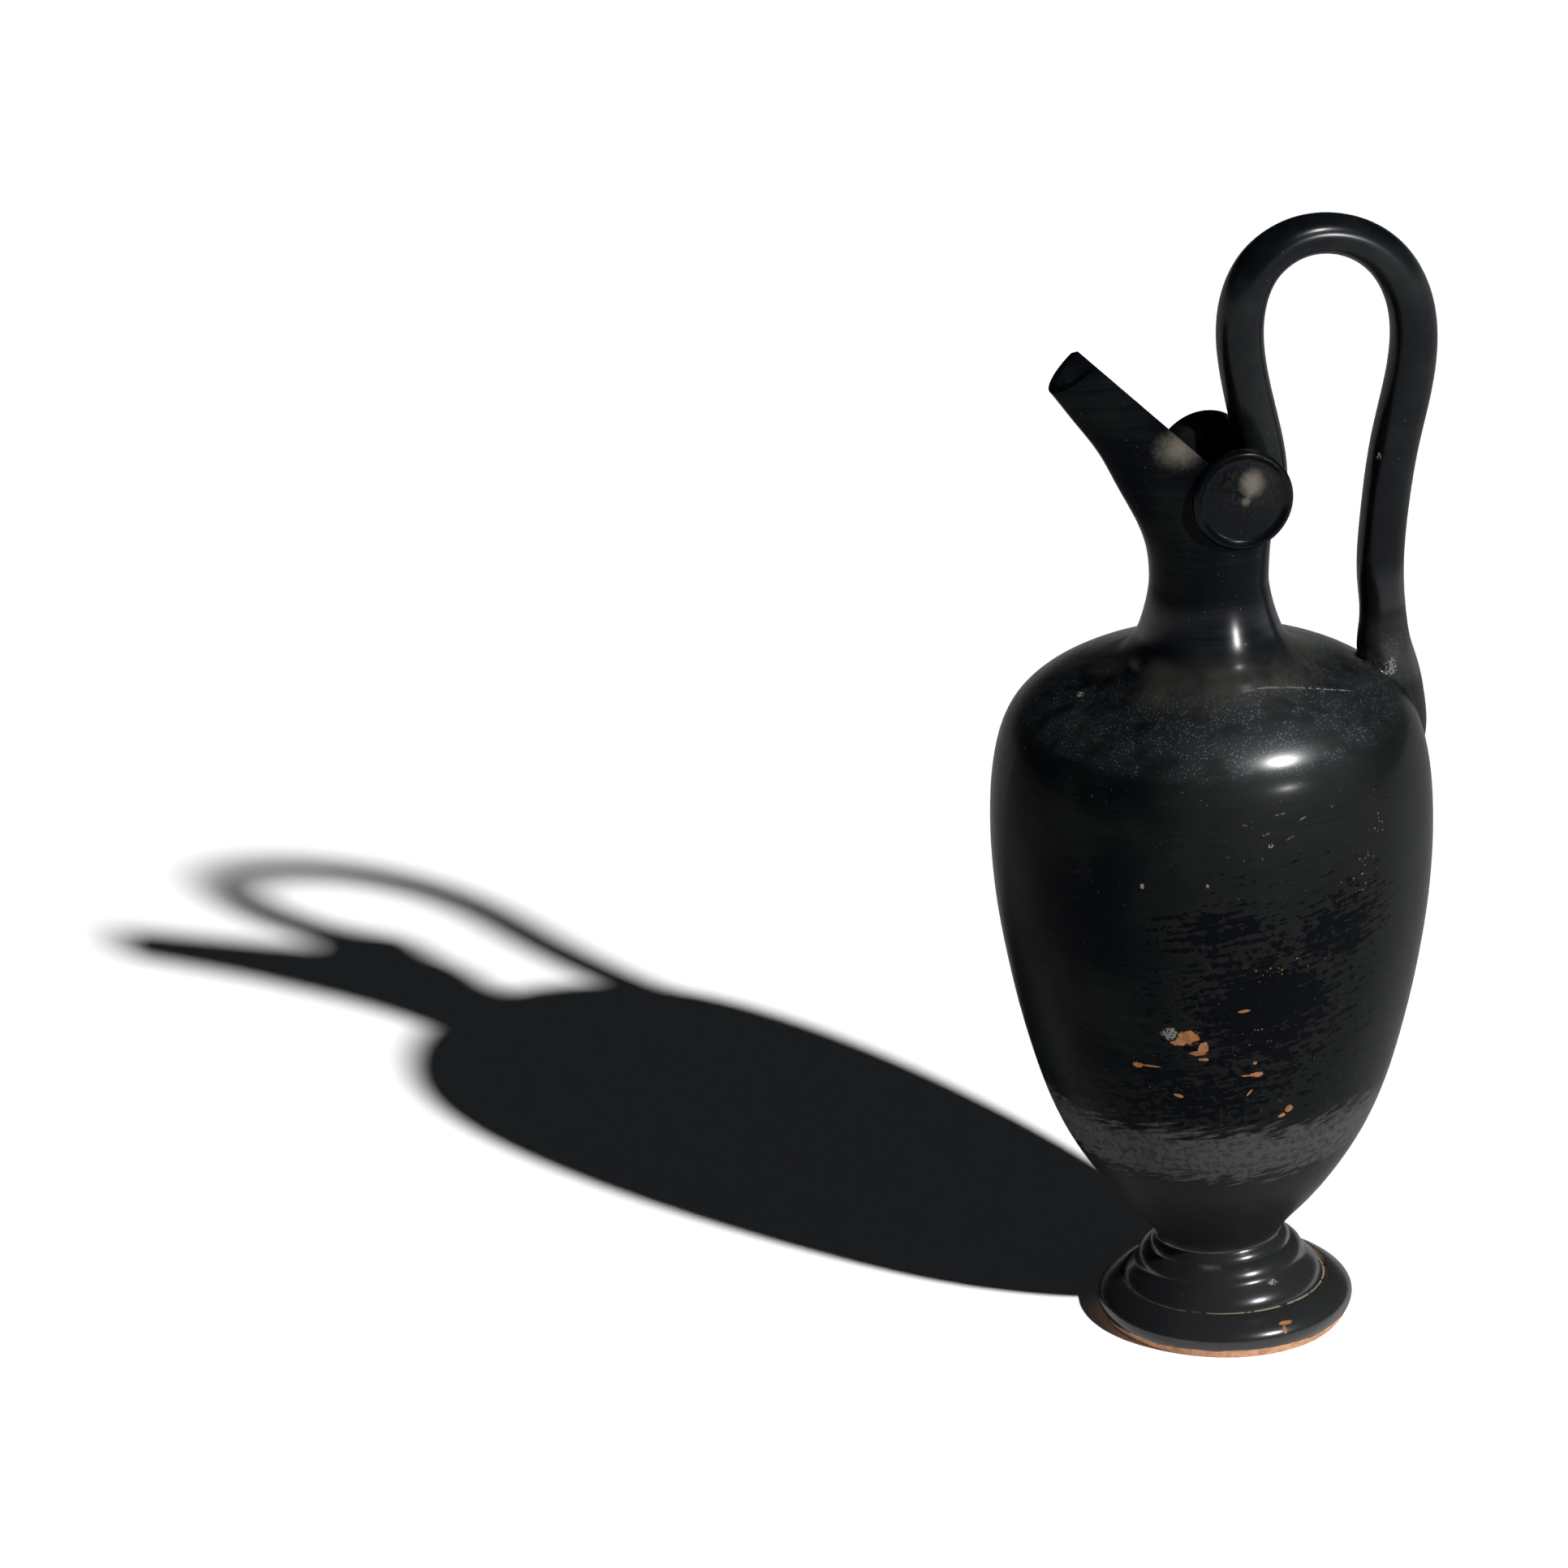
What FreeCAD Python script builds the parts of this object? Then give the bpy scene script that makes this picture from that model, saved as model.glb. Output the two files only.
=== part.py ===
# Beaked wheel-made pottery jug: one hollow piece of fired clay with a high loop handle.
# Millimetres. Origin on the ground under the middle of the foot.
# +Z up, +X towards the handle, -X towards the pouring beak.

import math
import os

import FreeCAD
import Part

V = FreeCAD.Vector

# thickness of the clay
BODY_WALL = 3.4
MOUTH_WALL = 2.5
FLOOR_THICKNESS = 5.0
FLOOR_DISH = 0.17

# foot ring, which rests on the ground
REST_RADIUS = 31.1
REST_ROUND_RADIUS = 28.8
REST_ROUND_DEPTH = 1.6
FOOT_RADIUS = 33.3
FOOT_WIDEST_HEIGHT = 5.2
FOOT_BULGE = 0.73
RING_CORNER_HEIGHT = 8.8
RING_CORNER_RADIUS = 30.5
RING_HEIGHT = 10.8
GROOVE_RADIUS = 26.6
GROOVE_WIDTH = 0.8
GROOVE_DEPTH = 1.0

# the foot was ground flat underneath while it leaned with the pot
FOOT_LEAN = 1.41

# moulding above the ring, turned slightly off its middle and a little askew
MOULDING_SHIFT = 1.2
MOULDING_LEAN = 2.8
MOULDING_PITCH = 2.5
FLARE_LOW_RISE = 2.6
FLARE_LOW_RADIUS = 25.6
FLARE_HIGH_RISE = 5.5
FLARE_HIGH_RADIUS = 23.1
MOULDING_RADIUS = 22.0
MOULDING_HEIGHT = 17.0
LIP_RADIUS = 21.3
LIP_HEIGHT = 19.0
CREASE_RADIUS = 18.6
CREASE_HEIGHT = 21.3
BEAD_RADIUS = 17.8
BEAD_HEIGHT = 23.0
JOINT_RADIUS = 16.0
JOINT_HEIGHT = 24.4

# hollow under the foot
RECESS_RADIUS = 24.5
RECESS_DEPTH = 11.5
RECESS_CORNER = 6.0

# how the thrown pot sits on its foot: a small step and lean towards the beak
BODY_SHIFT = 2.6
BODY_LEAN = 1.41
BODY_SINK = 2.4

# outside of the pot, from the joint with the foot to the neck: rise above the joint, radius
BODY_OUTLINE = [
    (-BODY_SINK, 15.0),
    (3.1, 18.5),
    (10.6, 25.0),
    (20.6, 32.7),
    (33.6, 40.3),
    (52.6, 47.3),
    (80.6, 53.8),
    (103.6, 56.9),
    (121.6, 57.4),
    (135.6, 56.0),
    (147.1, 51.6),
    (155.1, 41.0),
    (160.9, 27.4),
    (166.5, 20.7),
    (174.2, 17.4),
]
NECK_RISE = 183.6
NECK_RADIUS = 15.5
NECK_TOP = JOINT_HEIGHT + NECK_RISE

# beaked mouth, half of an oval trough, in heights above the neck
# centre x and z, underside x and z, half width
MOUTH_SECTIONS = [
    (0.0, 0.0, -NECK_RADIUS, 0.0, NECK_RADIUS),
    (0.1, 8.5, -15.8, 7.8, 15.8),
    (-0.4, 22.0, -19.0, 18.5, 13.7),
    (-5.5, 38.5, -24.7, 30.2, 11.4),
    (-12.5, 46.6, -28.6, 38.2, 9.9),
    (-20.0, 54.4, -32.8, 45.0, 8.9),
    (-27.5, 62.0, -37.7, 52.0, 7.7),
    (-35.5, 70.0, -44.6, 61.8, 7.0),
    (-42.0, 76.6, -51.0, 68.8, 6.7),
]

# sloping rim of the mouth, and the level rim behind it
RIM_X = -3.6
RIM_RISE = 36.75
RIM_SLOPE = 46.2
RIM_ROLL = 2.0
REAR_RIM_RISE = 31.0
RIM_BEND = 4.0
RIM_BEND_LIFT = 0.9

# cut end of the beak
TIP_X = -42.9
TIP_RISE = 59.4
TIP_SLOPE = 38.0
TIP_CORNER_RISE = 66.3

# the clay discs on both sides of the mouth
DISC_RADIUS = 13.4
DISC_THICKNESS = 7.0
DISC_X = 4.1
DISC_Y = 13.2
DISC_RISE = 27.5
DISC_SPLAY = 4.0
DISC_TILT = 5.0
DISC_EDGE_RADIUS = 1.3
DISC_BACK_CHAMFER = 1.3
DISC_RIM_WIDTH = 2.6
DISC_VALLEY_WIDTH = 1.1
DISC_FACE_DEPTH = 1.1
CONE_FOOT_HEIGHT = 0.1
NIPPLE_SHARE = 0.3
CONE_HEIGHT = 1.2
NIPPLE_HEIGHT = 2.0

# handle, a round rod from the mouth over to the shoulder, in heights above the neck
# centre line x and z, radius
HANDLE_LINE = [
    (13.9, 7.0, 1.4),
    (15.3, 17.5, 5.2),
    (15.4, 28.5, 6.2),
    (13.4, 40.9, 6.3),
    (10.1, 58.0, 6.2),
    (9.9, 73.5, 6.2),
    (15.0, 85.2, 5.9),
    (24.7, 91.0, 5.5),
    (37.6, 90.3, 5.4),
    (50.1, 81.7, 5.8),
    (56.8, 66.0, 6.1),
    (56.2, 49.0, 6.4),
    (52.0, 31.2, 6.4),
    (48.7, 11.3, 6.2),
    (47.5, -7.0, 6.1),
    (48.1, -18.5, 6.2),
    (48.5, -27.5, 7.3),
    (50.4, -34.5, 7.4),
    (52.2, -42.5, 7.0),
    (53.3, -51.5, 6.1),
    (51.2, -61.5, 3.8),
]

# how far the shapes that cut away clay reach past it
REACH = 80.0
OVERLAP = 2.0


def smooth_curve(points):
    curve = Part.BSplineCurve()
    curve.interpolate(points)
    return curve


def line(start, end):
    return Part.makeLine(start, end)


def on_axis(point):
    return V(0, 0, point.z)


# a turned solid: its outside runs from the lowest point to the highest one
def turned(outside, low, high):
    edges = list(outside)
    edges.append(line(high, on_axis(high)))
    edges.append(line(on_axis(high), on_axis(low)))
    edges.append(line(on_axis(low), low))
    face = Part.Face(Part.Wire(Part.__sortEdges__(edges)))
    return face.revolve(V(0, 0, 0), V(0, 0, 1), 360)


def foot_ring():
    low = V(REST_ROUND_RADIUS, 0, -REST_ROUND_DEPTH)
    rest = V(REST_RADIUS, 0, 0)
    half_way = V(REST_RADIUS + (FOOT_RADIUS - REST_RADIUS) * FOOT_BULGE, 0, FOOT_WIDEST_HEIGHT / 2)
    widest = V(FOOT_RADIUS, 0, FOOT_WIDEST_HEIGHT)
    corner = V(RING_CORNER_RADIUS, 0, RING_CORNER_HEIGHT)
    crown = V(GROOVE_RADIUS + GROOVE_WIDTH / 2, 0, RING_HEIGHT)
    groove = V(GROOVE_RADIUS - GROOVE_WIDTH / 2, 0, RING_HEIGHT - GROOVE_DEPTH)
    outside = smooth_curve([low, rest, half_way, widest, corner, crown]).toShape()
    ring = turned([outside, line(crown, groove)], low, groove)
    ring.rotate(V(0, 0, 0), V(0, 1, 0), -FOOT_LEAN)
    return ring


def foot_moulding():
    start = V(GROOVE_RADIUS - GROOVE_WIDTH / 4, 0, RING_HEIGHT - GROOVE_DEPTH / 2)
    low = start - V(0, 0, OVERLAP)
    flare_low = V(FLARE_LOW_RADIUS, 0, start.z + FLARE_LOW_RISE)
    flare_high = V(FLARE_HIGH_RADIUS, 0, start.z + FLARE_HIGH_RISE)
    edge = V(MOULDING_RADIUS, 0, MOULDING_HEIGHT)
    crease = V(CREASE_RADIUS, 0, CREASE_HEIGHT)
    joint = V(JOINT_RADIUS, 0, JOINT_HEIGHT)
    flare = smooth_curve([start, flare_low, flare_high, edge]).toShape()
    lip = Part.Arc(edge, V(LIP_RADIUS, 0, LIP_HEIGHT), crease).toShape()
    bead = Part.Arc(crease, V(BEAD_RADIUS, 0, BEAD_HEIGHT), joint).toShape()
    moulding = turned([line(low, start), flare, lip, bead], low, joint)
    moulding.rotate(on_axis(start), V(0, 1, 0), -MOULDING_LEAN)
    moulding.rotate(on_axis(start) - V(0, start.x, 0), V(1, 0, 0), -MOULDING_PITCH)
    moulding.translate(V(-MOULDING_SHIFT, 0, 0))
    return moulding


def foot_recess():
    low = V(RECESS_RADIUS, 0, -OVERLAP)
    spring = V(RECESS_RADIUS, 0, RECESS_DEPTH - RECESS_CORNER)
    crown = V(RECESS_RADIUS - RECESS_CORNER, 0, RECESS_DEPTH)
    half_turn = RECESS_CORNER * (1 - math.sqrt(0.5))
    bend = V(RECESS_RADIUS - half_turn, 0, RECESS_DEPTH - half_turn)
    return turned([line(low, spring), Part.Arc(spring, bend, crown).toShape()], low, crown)


def outline_points():
    points = [V(radius, 0, JOINT_HEIGHT + rise) for rise, radius in BODY_OUTLINE]
    return points + [V(NECK_RADIUS, 0, NECK_TOP)]


def body_solid():
    points = outline_points()
    return turned([smooth_curve(points).toShape()], points[0], points[-1])


# the inside follows the outside at the wall's thickness and closes over the floor
def body_hollow():
    outside = outline_points()
    curve = smooth_curve(outside)
    points = []
    for point in outside[2:-2]:
        along = curve.tangent(curve.parameter(point))[0]
        points.append(point + V(-along.z, 0, along.x) * BODY_WALL)
    floor = V(0, 0, JOINT_HEIGHT + FLOOR_THICKNESS)
    points.insert(0, V(points[0].x / 2, 0, floor.z + (points[0].z - floor.z) * FLOOR_DISH))
    points.insert(0, floor)
    below_neck = (BODY_WALL + MOUTH_WALL) / 2
    points.append(outside[-2] - V(below_neck, 0, 0))
    points.append(outside[-1] - V(MOUTH_WALL, 0, 0))
    top = points[-1]
    edges = [smooth_curve(points).toShape(), line(top, on_axis(top)), line(on_axis(top), floor)]
    face = Part.Face(Part.Wire(Part.__sortEdges__(edges)))
    return face.revolve(V(0, 0, 0), V(0, 0, 1), 360)


def mouth_tube(inset):
    rings = []
    for x, rise, under_x, under_rise, half_width in MOUTH_SECTIONS:
        centre = V(x, 0, NECK_TOP + rise)
        down = V(under_x - x, 0, under_rise - rise)
        long = centre + down * ((down.Length - inset) / down.Length)
        wide = centre + V(0, half_width - inset, 0)
        if down.Length >= half_width:
            ring = Part.Ellipse(long, wide, centre)
        else:
            ring = Part.Ellipse(wide, long, centre)
        rings.append(Part.Wire(ring.toShape()))
    return Part.makeLoft(rings, True, False)


# everything under the ground, which cuts the foot flat
def underground():
    ground = Part.makeBox(2 * REACH, 2 * REACH, REACH)
    ground.translate(V(-REACH, -REACH, -REACH))
    return ground


# a block across the mouth whose lower face has the given edges
def block_above(edges, start, end, lift):
    corners = [end, end + lift, start + lift, start]
    sides = [line(corners[i], corners[i + 1]) for i in range(3)]
    face = Part.Face(Part.Wire(Part.__sortEdges__(edges + sides)))
    block = face.extrude(V(0, 2 * REACH, 0))
    block.translate(V(0, -REACH, 0))
    return block


def above_rim():
    slope = math.radians(RIM_SLOPE)
    up_beak = V(-math.cos(slope), 0, math.sin(slope))
    on_rim = V(RIM_X, 0, NECK_TOP + RIM_RISE)
    corner_x = RIM_X + (RIM_RISE - REAR_RIM_RISE) / math.tan(slope)
    corner = V(corner_x, 0, NECK_TOP + REAR_RIM_RISE)
    start = corner + up_beak * REACH
    before = corner + up_beak * RIM_BEND
    after = corner + V(RIM_BEND, 0, 0)
    end = corner + V(REACH, 0, 0)
    bend = smooth_curve([before, corner + V(0, 0, RIM_BEND_LIFT), after]).toShape()
    edges = [line(start, before), bend, line(after, end)]
    block = block_above(edges, start, end, V(0, 0, REACH))
    block.rotate(on_rim, up_beak, RIM_ROLL)
    return block


def beyond_tip():
    slope = math.radians(TIP_SLOPE)
    along = V(math.cos(slope), 0, math.sin(slope))
    outward = V(-along.z, 0, along.x)
    tip = V(TIP_X, 0, NECK_TOP + TIP_RISE)
    start = tip - along * REACH
    end = tip + along * REACH
    end_block = block_above([line(start, end)], start, end, outward * REACH)
    corner = V(tip.x, 0, NECK_TOP + TIP_CORNER_RISE)
    start = corner - V(REACH, 0, 0)
    end = corner + V(REACH, 0, 0)
    return end_block.fuse(block_above([line(start, end)], start, end, V(0, 0, REACH)))


def disc(side):
    face = DISC_THICKNESS / 2
    hollow = face - DISC_FACE_DEPTH
    back = V(DISC_RADIUS - DISC_BACK_CHAMFER, 0, -face)
    back_edge = V(DISC_RADIUS, 0, DISC_BACK_CHAMFER - face)
    outer = V(DISC_RADIUS, 0, face - DISC_EDGE_RADIUS)
    crest = V(DISC_RADIUS - DISC_EDGE_RADIUS, 0, face)
    half_turn = DISC_EDGE_RADIUS * (1 - math.sqrt(0.5))
    bend = V(DISC_RADIUS - half_turn, 0, face - half_turn)
    valley = V(DISC_RADIUS - DISC_RIM_WIDTH, 0, hollow)
    cone_foot = V(valley.x - DISC_VALLEY_WIDTH, 0, hollow + CONE_FOOT_HEIGHT)
    nipple_foot = V(DISC_RADIUS * NIPPLE_SHARE, 0, hollow + CONE_HEIGHT)
    nipple = V(0, 0, hollow + NIPPLE_HEIGHT)
    edges = [line(V(0, 0, -face), back), line(back, back_edge), line(back_edge, outer)]
    edges.extend([Part.Arc(outer, bend, crest).toShape(), line(crest, valley)])
    edges.extend([line(valley, cone_foot), line(cone_foot, nipple_foot)])
    edges.extend([line(nipple_foot, nipple), line(nipple, V(0, 0, -face))])
    shape = Part.Face(Part.Wire(Part.__sortEdges__(edges))).revolve(V(0, 0, 0), V(0, 0, 1), 360)
    shape.rotate(V(0, 0, 0), V(1, 0, 0), (DISC_TILT - 90) * side)
    shape.rotate(V(0, 0, 0), V(0, 0, 1), DISC_SPLAY * side)
    shape.translate(V(DISC_X, DISC_Y * side, NECK_TOP + DISC_RISE))
    return shape


def handle():
    points = [V(x, 0, NECK_TOP + rise) for x, rise, radius in HANDLE_LINE]
    path = smooth_curve(points)
    rings = []
    for point, (x, rise, radius) in zip(points, HANDLE_LINE):
        along = path.tangent(path.parameter(point))[0]
        rings.append(Part.Wire(Part.Circle(point, along, radius).toShape()))
    return Part.makeLoft(rings, True, False)


def pot():
    mouth = mouth_tube(0).cut(above_rim()).cut(beyond_tip())
    clay = body_solid().fuse([mouth, disc(1), disc(-1)])
    clay = clay.cut(body_hollow().fuse(mouth_tube(MOUTH_WALL)))
    clay = clay.fuse(handle().cut(body_hollow()))
    clay.rotate(V(0, 0, JOINT_HEIGHT), V(0, 1, 0), -BODY_LEAN)
    clay.translate(V(-BODY_SHIFT, 0, 0))
    return clay


def foot():
    return foot_ring().fuse(foot_moulding()).cut(foot_recess()).cut(underground())


def main():
    os.makedirs("parts", exist_ok=True)
    oinochoe = pot().fuse(foot()).removeSplitter().Solids[0]
    oinochoe.exportStep("parts/oinochoe.step")


main()
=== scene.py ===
"""Looks of a black-slipped pottery jug: its clay shapes, its worn glossy slip, light and camera."""

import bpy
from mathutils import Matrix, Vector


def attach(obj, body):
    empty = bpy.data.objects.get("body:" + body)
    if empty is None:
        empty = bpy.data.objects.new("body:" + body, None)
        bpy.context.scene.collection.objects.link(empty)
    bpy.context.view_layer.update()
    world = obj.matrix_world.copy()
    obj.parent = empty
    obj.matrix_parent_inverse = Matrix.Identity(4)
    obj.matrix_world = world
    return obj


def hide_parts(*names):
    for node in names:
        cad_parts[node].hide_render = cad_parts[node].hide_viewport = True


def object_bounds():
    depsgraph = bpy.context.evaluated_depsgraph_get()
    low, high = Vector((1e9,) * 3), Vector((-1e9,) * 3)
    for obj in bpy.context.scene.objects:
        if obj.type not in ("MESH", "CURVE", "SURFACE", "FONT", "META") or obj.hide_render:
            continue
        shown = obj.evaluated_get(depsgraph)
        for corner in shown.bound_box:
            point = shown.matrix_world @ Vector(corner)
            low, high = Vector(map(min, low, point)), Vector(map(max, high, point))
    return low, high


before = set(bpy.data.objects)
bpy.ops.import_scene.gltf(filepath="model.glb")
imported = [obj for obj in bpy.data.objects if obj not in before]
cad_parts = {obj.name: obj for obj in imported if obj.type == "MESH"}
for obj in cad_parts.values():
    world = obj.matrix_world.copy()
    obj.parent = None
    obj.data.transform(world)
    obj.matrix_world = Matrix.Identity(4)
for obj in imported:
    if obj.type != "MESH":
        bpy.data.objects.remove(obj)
low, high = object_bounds()
CAD_BOX = [list(low), list(high)]

import logging
import math
from dataclasses import dataclass, field
from enum import Enum

import bmesh
import bpy
import numpy as np
from bmesh.types import BMEdge, BMesh, BMFace, BMVert
from bpy.types import Material, Node, NodeSocket, NodeTree, Object
from mathutils import Matrix, Vector, kdtree, noise

MM = 0.001
FULL_TURN = 2 * math.pi
TOUCH = 1e-4
UP = Vector((0, 0, 1))
log = logging.getLogger("jug")


class Side(Enum):
    """The two long sides of the jug."""

    FAR = 1
    NEAR = -1


class Region(Enum):
    """Which way of working made a stretch of the clay."""

    THROWN = 0
    DISC = 1
    PULLED = 2
    FOOT = 3


class SmoothCurve:
    """A cubic curve through points, in any number of dimensions.

    The first two columns of the points measure the distance along it.
    """

    def __init__(self, points: list) -> None:
        """Fits the curve.

        Args:
            points: Rows of numbers, of which the first two are a place.
        """
        self.points = np.array(points, float)
        self.steps = np.linalg.norm(np.diff(self.points[:, :2], axis=0), axis=1)
        self.knots = np.concatenate([[0.0], np.cumsum(self.steps)])
        self.slopes = self._fit()

    def _fit(self) -> np.ndarray:
        """Finds the slope at each point that keeps the bend continuous.

        Returns:
            One row of slopes for each point.
        """
        step, count = self.steps[:, None], len(self.points)
        rise = np.diff(self.points, axis=0) / step
        matrix, right = np.zeros((count, count)), np.zeros_like(self.points)
        for i in range(1, count - 1):
            before, after = self.steps[i - 1], self.steps[i]
            matrix[i, i - 1 : i + 2] = after, 2 * (before + after), before
            right[i] = 3 * (after * rise[i - 1] + before * rise[i])
        matrix[0, 0] = matrix[-1, -1] = 1
        right[0] = rise[0] + (rise[0] - rise[1]) * step[0] / (step[0] + step[1])
        right[-1] = rise[-1] + (rise[-1] - rise[-2]) * step[-1] / (step[-1] + step[-2])
        return np.linalg.solve(matrix, right)

    def at(self, place: np.ndarray) -> np.ndarray:
        """Reads the curve.

        Args:
            place: Distances along the chords.

        Returns:
            One row of numbers for each distance.
        """
        i = np.clip(np.searchsorted(self.knots, place, side="right") - 1, 0, len(self.steps) - 1)
        h = self.steps[i][:, None]
        t = ((place - self.knots[i]) / self.steps[i])[:, None]
        start, end = self.points[i], self.points[i + 1]
        leave, arrive = self.slopes[i] * h, self.slopes[i + 1] * h
        return (
            (1 + 2 * t) * (1 - t) ** 2 * start
            + t * (1 - t) ** 2 * leave
            + t**2 * (3 - 2 * t) * end
            + t**2 * (t - 1) * arrive
        )

    def run(self, spacing: float) -> np.ndarray:
        """Reads the curve at about even steps.

        Args:
            spacing: Length of a step.

        Returns:
            One row of numbers for each step's end.
        """
        count = max(2, round(self.knots[-1] / spacing) + 1)
        return self.at(np.linspace(0, self.knots[-1], count))

    def directions(self) -> np.ndarray:
        """Gives the unit direction along the curve at each of its points."""
        along = self.slopes[:, :2]
        return along / np.linalg.norm(along, axis=1)[:, None]


def eased(corners: list, reach: float, most: float = 0.45) -> list:
    """Rounds the corners of a run of points.

    Args:
        corners: Places as (radius, height).
        reach: How far before and after a corner its bend starts.
        most: Largest share of a side that a bend takes.

    Returns:
        The run with three points in place of each inner corner.
    """
    run = [Vector(corners[0])]
    for before, corner, after in zip(corners, corners[1:], corners[2:]):
        corner = Vector(corner)
        back, on = Vector(before) - corner, Vector(after) - corner
        start = corner + back.normalized() * min(reach, back.length * most)
        end = corner + on.normalized() * min(reach, on.length * most)
        run += [start, corner * 0.5 + (start + end) * 0.25, end]
    return [tuple(p) for p in run + [Vector(corners[-1])]]


def quarter(radius: float, height: float, bend: float, angle: int) -> list:
    """Runs round the outer top edge of a turned shape, at steps of an angle in degrees."""
    angles = [math.radians(a) for a in range(0, 91, angle)]
    return [(radius - bend * (1 - math.cos(a)), height - bend * (1 - math.sin(a))) for a in angles]


def turned(degrees: float, axis: object) -> Matrix:
    """Makes a turn about an axis through the origin."""
    return Matrix.Rotation(math.radians(degrees), 4, axis)


def about(place: Vector, turn: Matrix) -> Matrix:
    """Moves a turn to another place."""
    return Matrix.Translation(place) @ turn @ Matrix.Translation(-place)


def linked(name: str, data: object) -> Object:
    """Puts a new object into the scene."""
    made = bpy.data.objects.new(name, data)
    bpy.context.scene.collection.objects.link(made)
    return made


def grown(bm: BMesh, ring: list) -> tuple:
    """Draws an open ring of edges out by one row, and gives the new points and edges."""
    made = bmesh.ops.extrude_edge_only(bm, edges=ring)["geom"]
    verts = [g for g in made if isinstance(g, BMVert)]
    return verts, [g for g in made if isinstance(g, BMEdge) and g.is_boundary]


def spun(outline: list, turns: int) -> BMesh:
    """Turns an outline about the upright axis.

    Args:
        outline: Places as (radius, height), from one end to the other.
        turns: How many faces go round.

    Returns:
        The turned shell, with its poles closed.
    """
    bm = bmesh.new()
    verts = [bm.verts.new((radius, 0, height)) for radius, height in outline]
    edges = [bm.edges.new(pair) for pair in zip(verts, verts[1:])]
    bmesh.ops.spin(
        bm,
        geom=verts + edges,
        cent=(0, 0, 0),
        axis=UP,
        angle=FULL_TURN,
        steps=turns,
        use_merge=True,
    )
    bmesh.ops.remove_doubles(bm, verts=bm.verts, dist=TOUCH)
    return bm


def transformed(bm: BMesh, matrix: Matrix) -> BMesh:
    """Moves all of a shape and gives it back."""
    bmesh.ops.transform(bm, matrix=matrix, verts=bm.verts)
    return bm


def smoothed(bm: BMesh, verts: list, upright: bool = True) -> None:
    """Evens out points of a shape, and may leave their heights."""
    axes = {"use_axis_x": True, "use_axis_y": True, "use_axis_z": upright}
    bmesh.ops.smooth_vert(bm, verts=verts, factor=0.5, **axes)


def as_object(bm: BMesh, name: str, region: Region) -> Object:
    """Makes a closed shape an object whose faces remember their region.

    Args:
        bm: The shape, which is used up.
        name: Name of the object.
        region: Way of working of all its faces.

    Returns:
        The object, linked to the scene.
    """
    layer = bm.faces.layers.int.get("region") or bm.faces.layers.int.new("region")
    for face in bm.faces:
        face[layer] = region.value
        face.smooth = True
    bmesh.ops.recalc_face_normals(bm, faces=bm.faces)
    mesh = bpy.data.meshes.new(name)
    bm.to_mesh(mesh)
    bm.free()
    return linked(name, mesh)


def joined(base: Object, tool: Object, operation: str) -> None:
    """Unites two closed shapes, or cuts one from the other, and removes the second.

    Args:
        base: Shape that changes.
        tool: Shape that is added or taken away.
        operation: UNION or DIFFERENCE.
    """
    change = base.modifiers.new("join", "BOOLEAN")
    change.operation = operation
    change.solver = "MANIFOLD"
    change.object = tool
    bpy.context.view_layer.update()
    result = bpy.data.meshes.new_from_object(
        base.evaluated_get(bpy.context.evaluated_depsgraph_get())
    )
    base.modifiers.remove(change)
    base.data = result
    bpy.data.objects.remove(tool)


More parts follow.
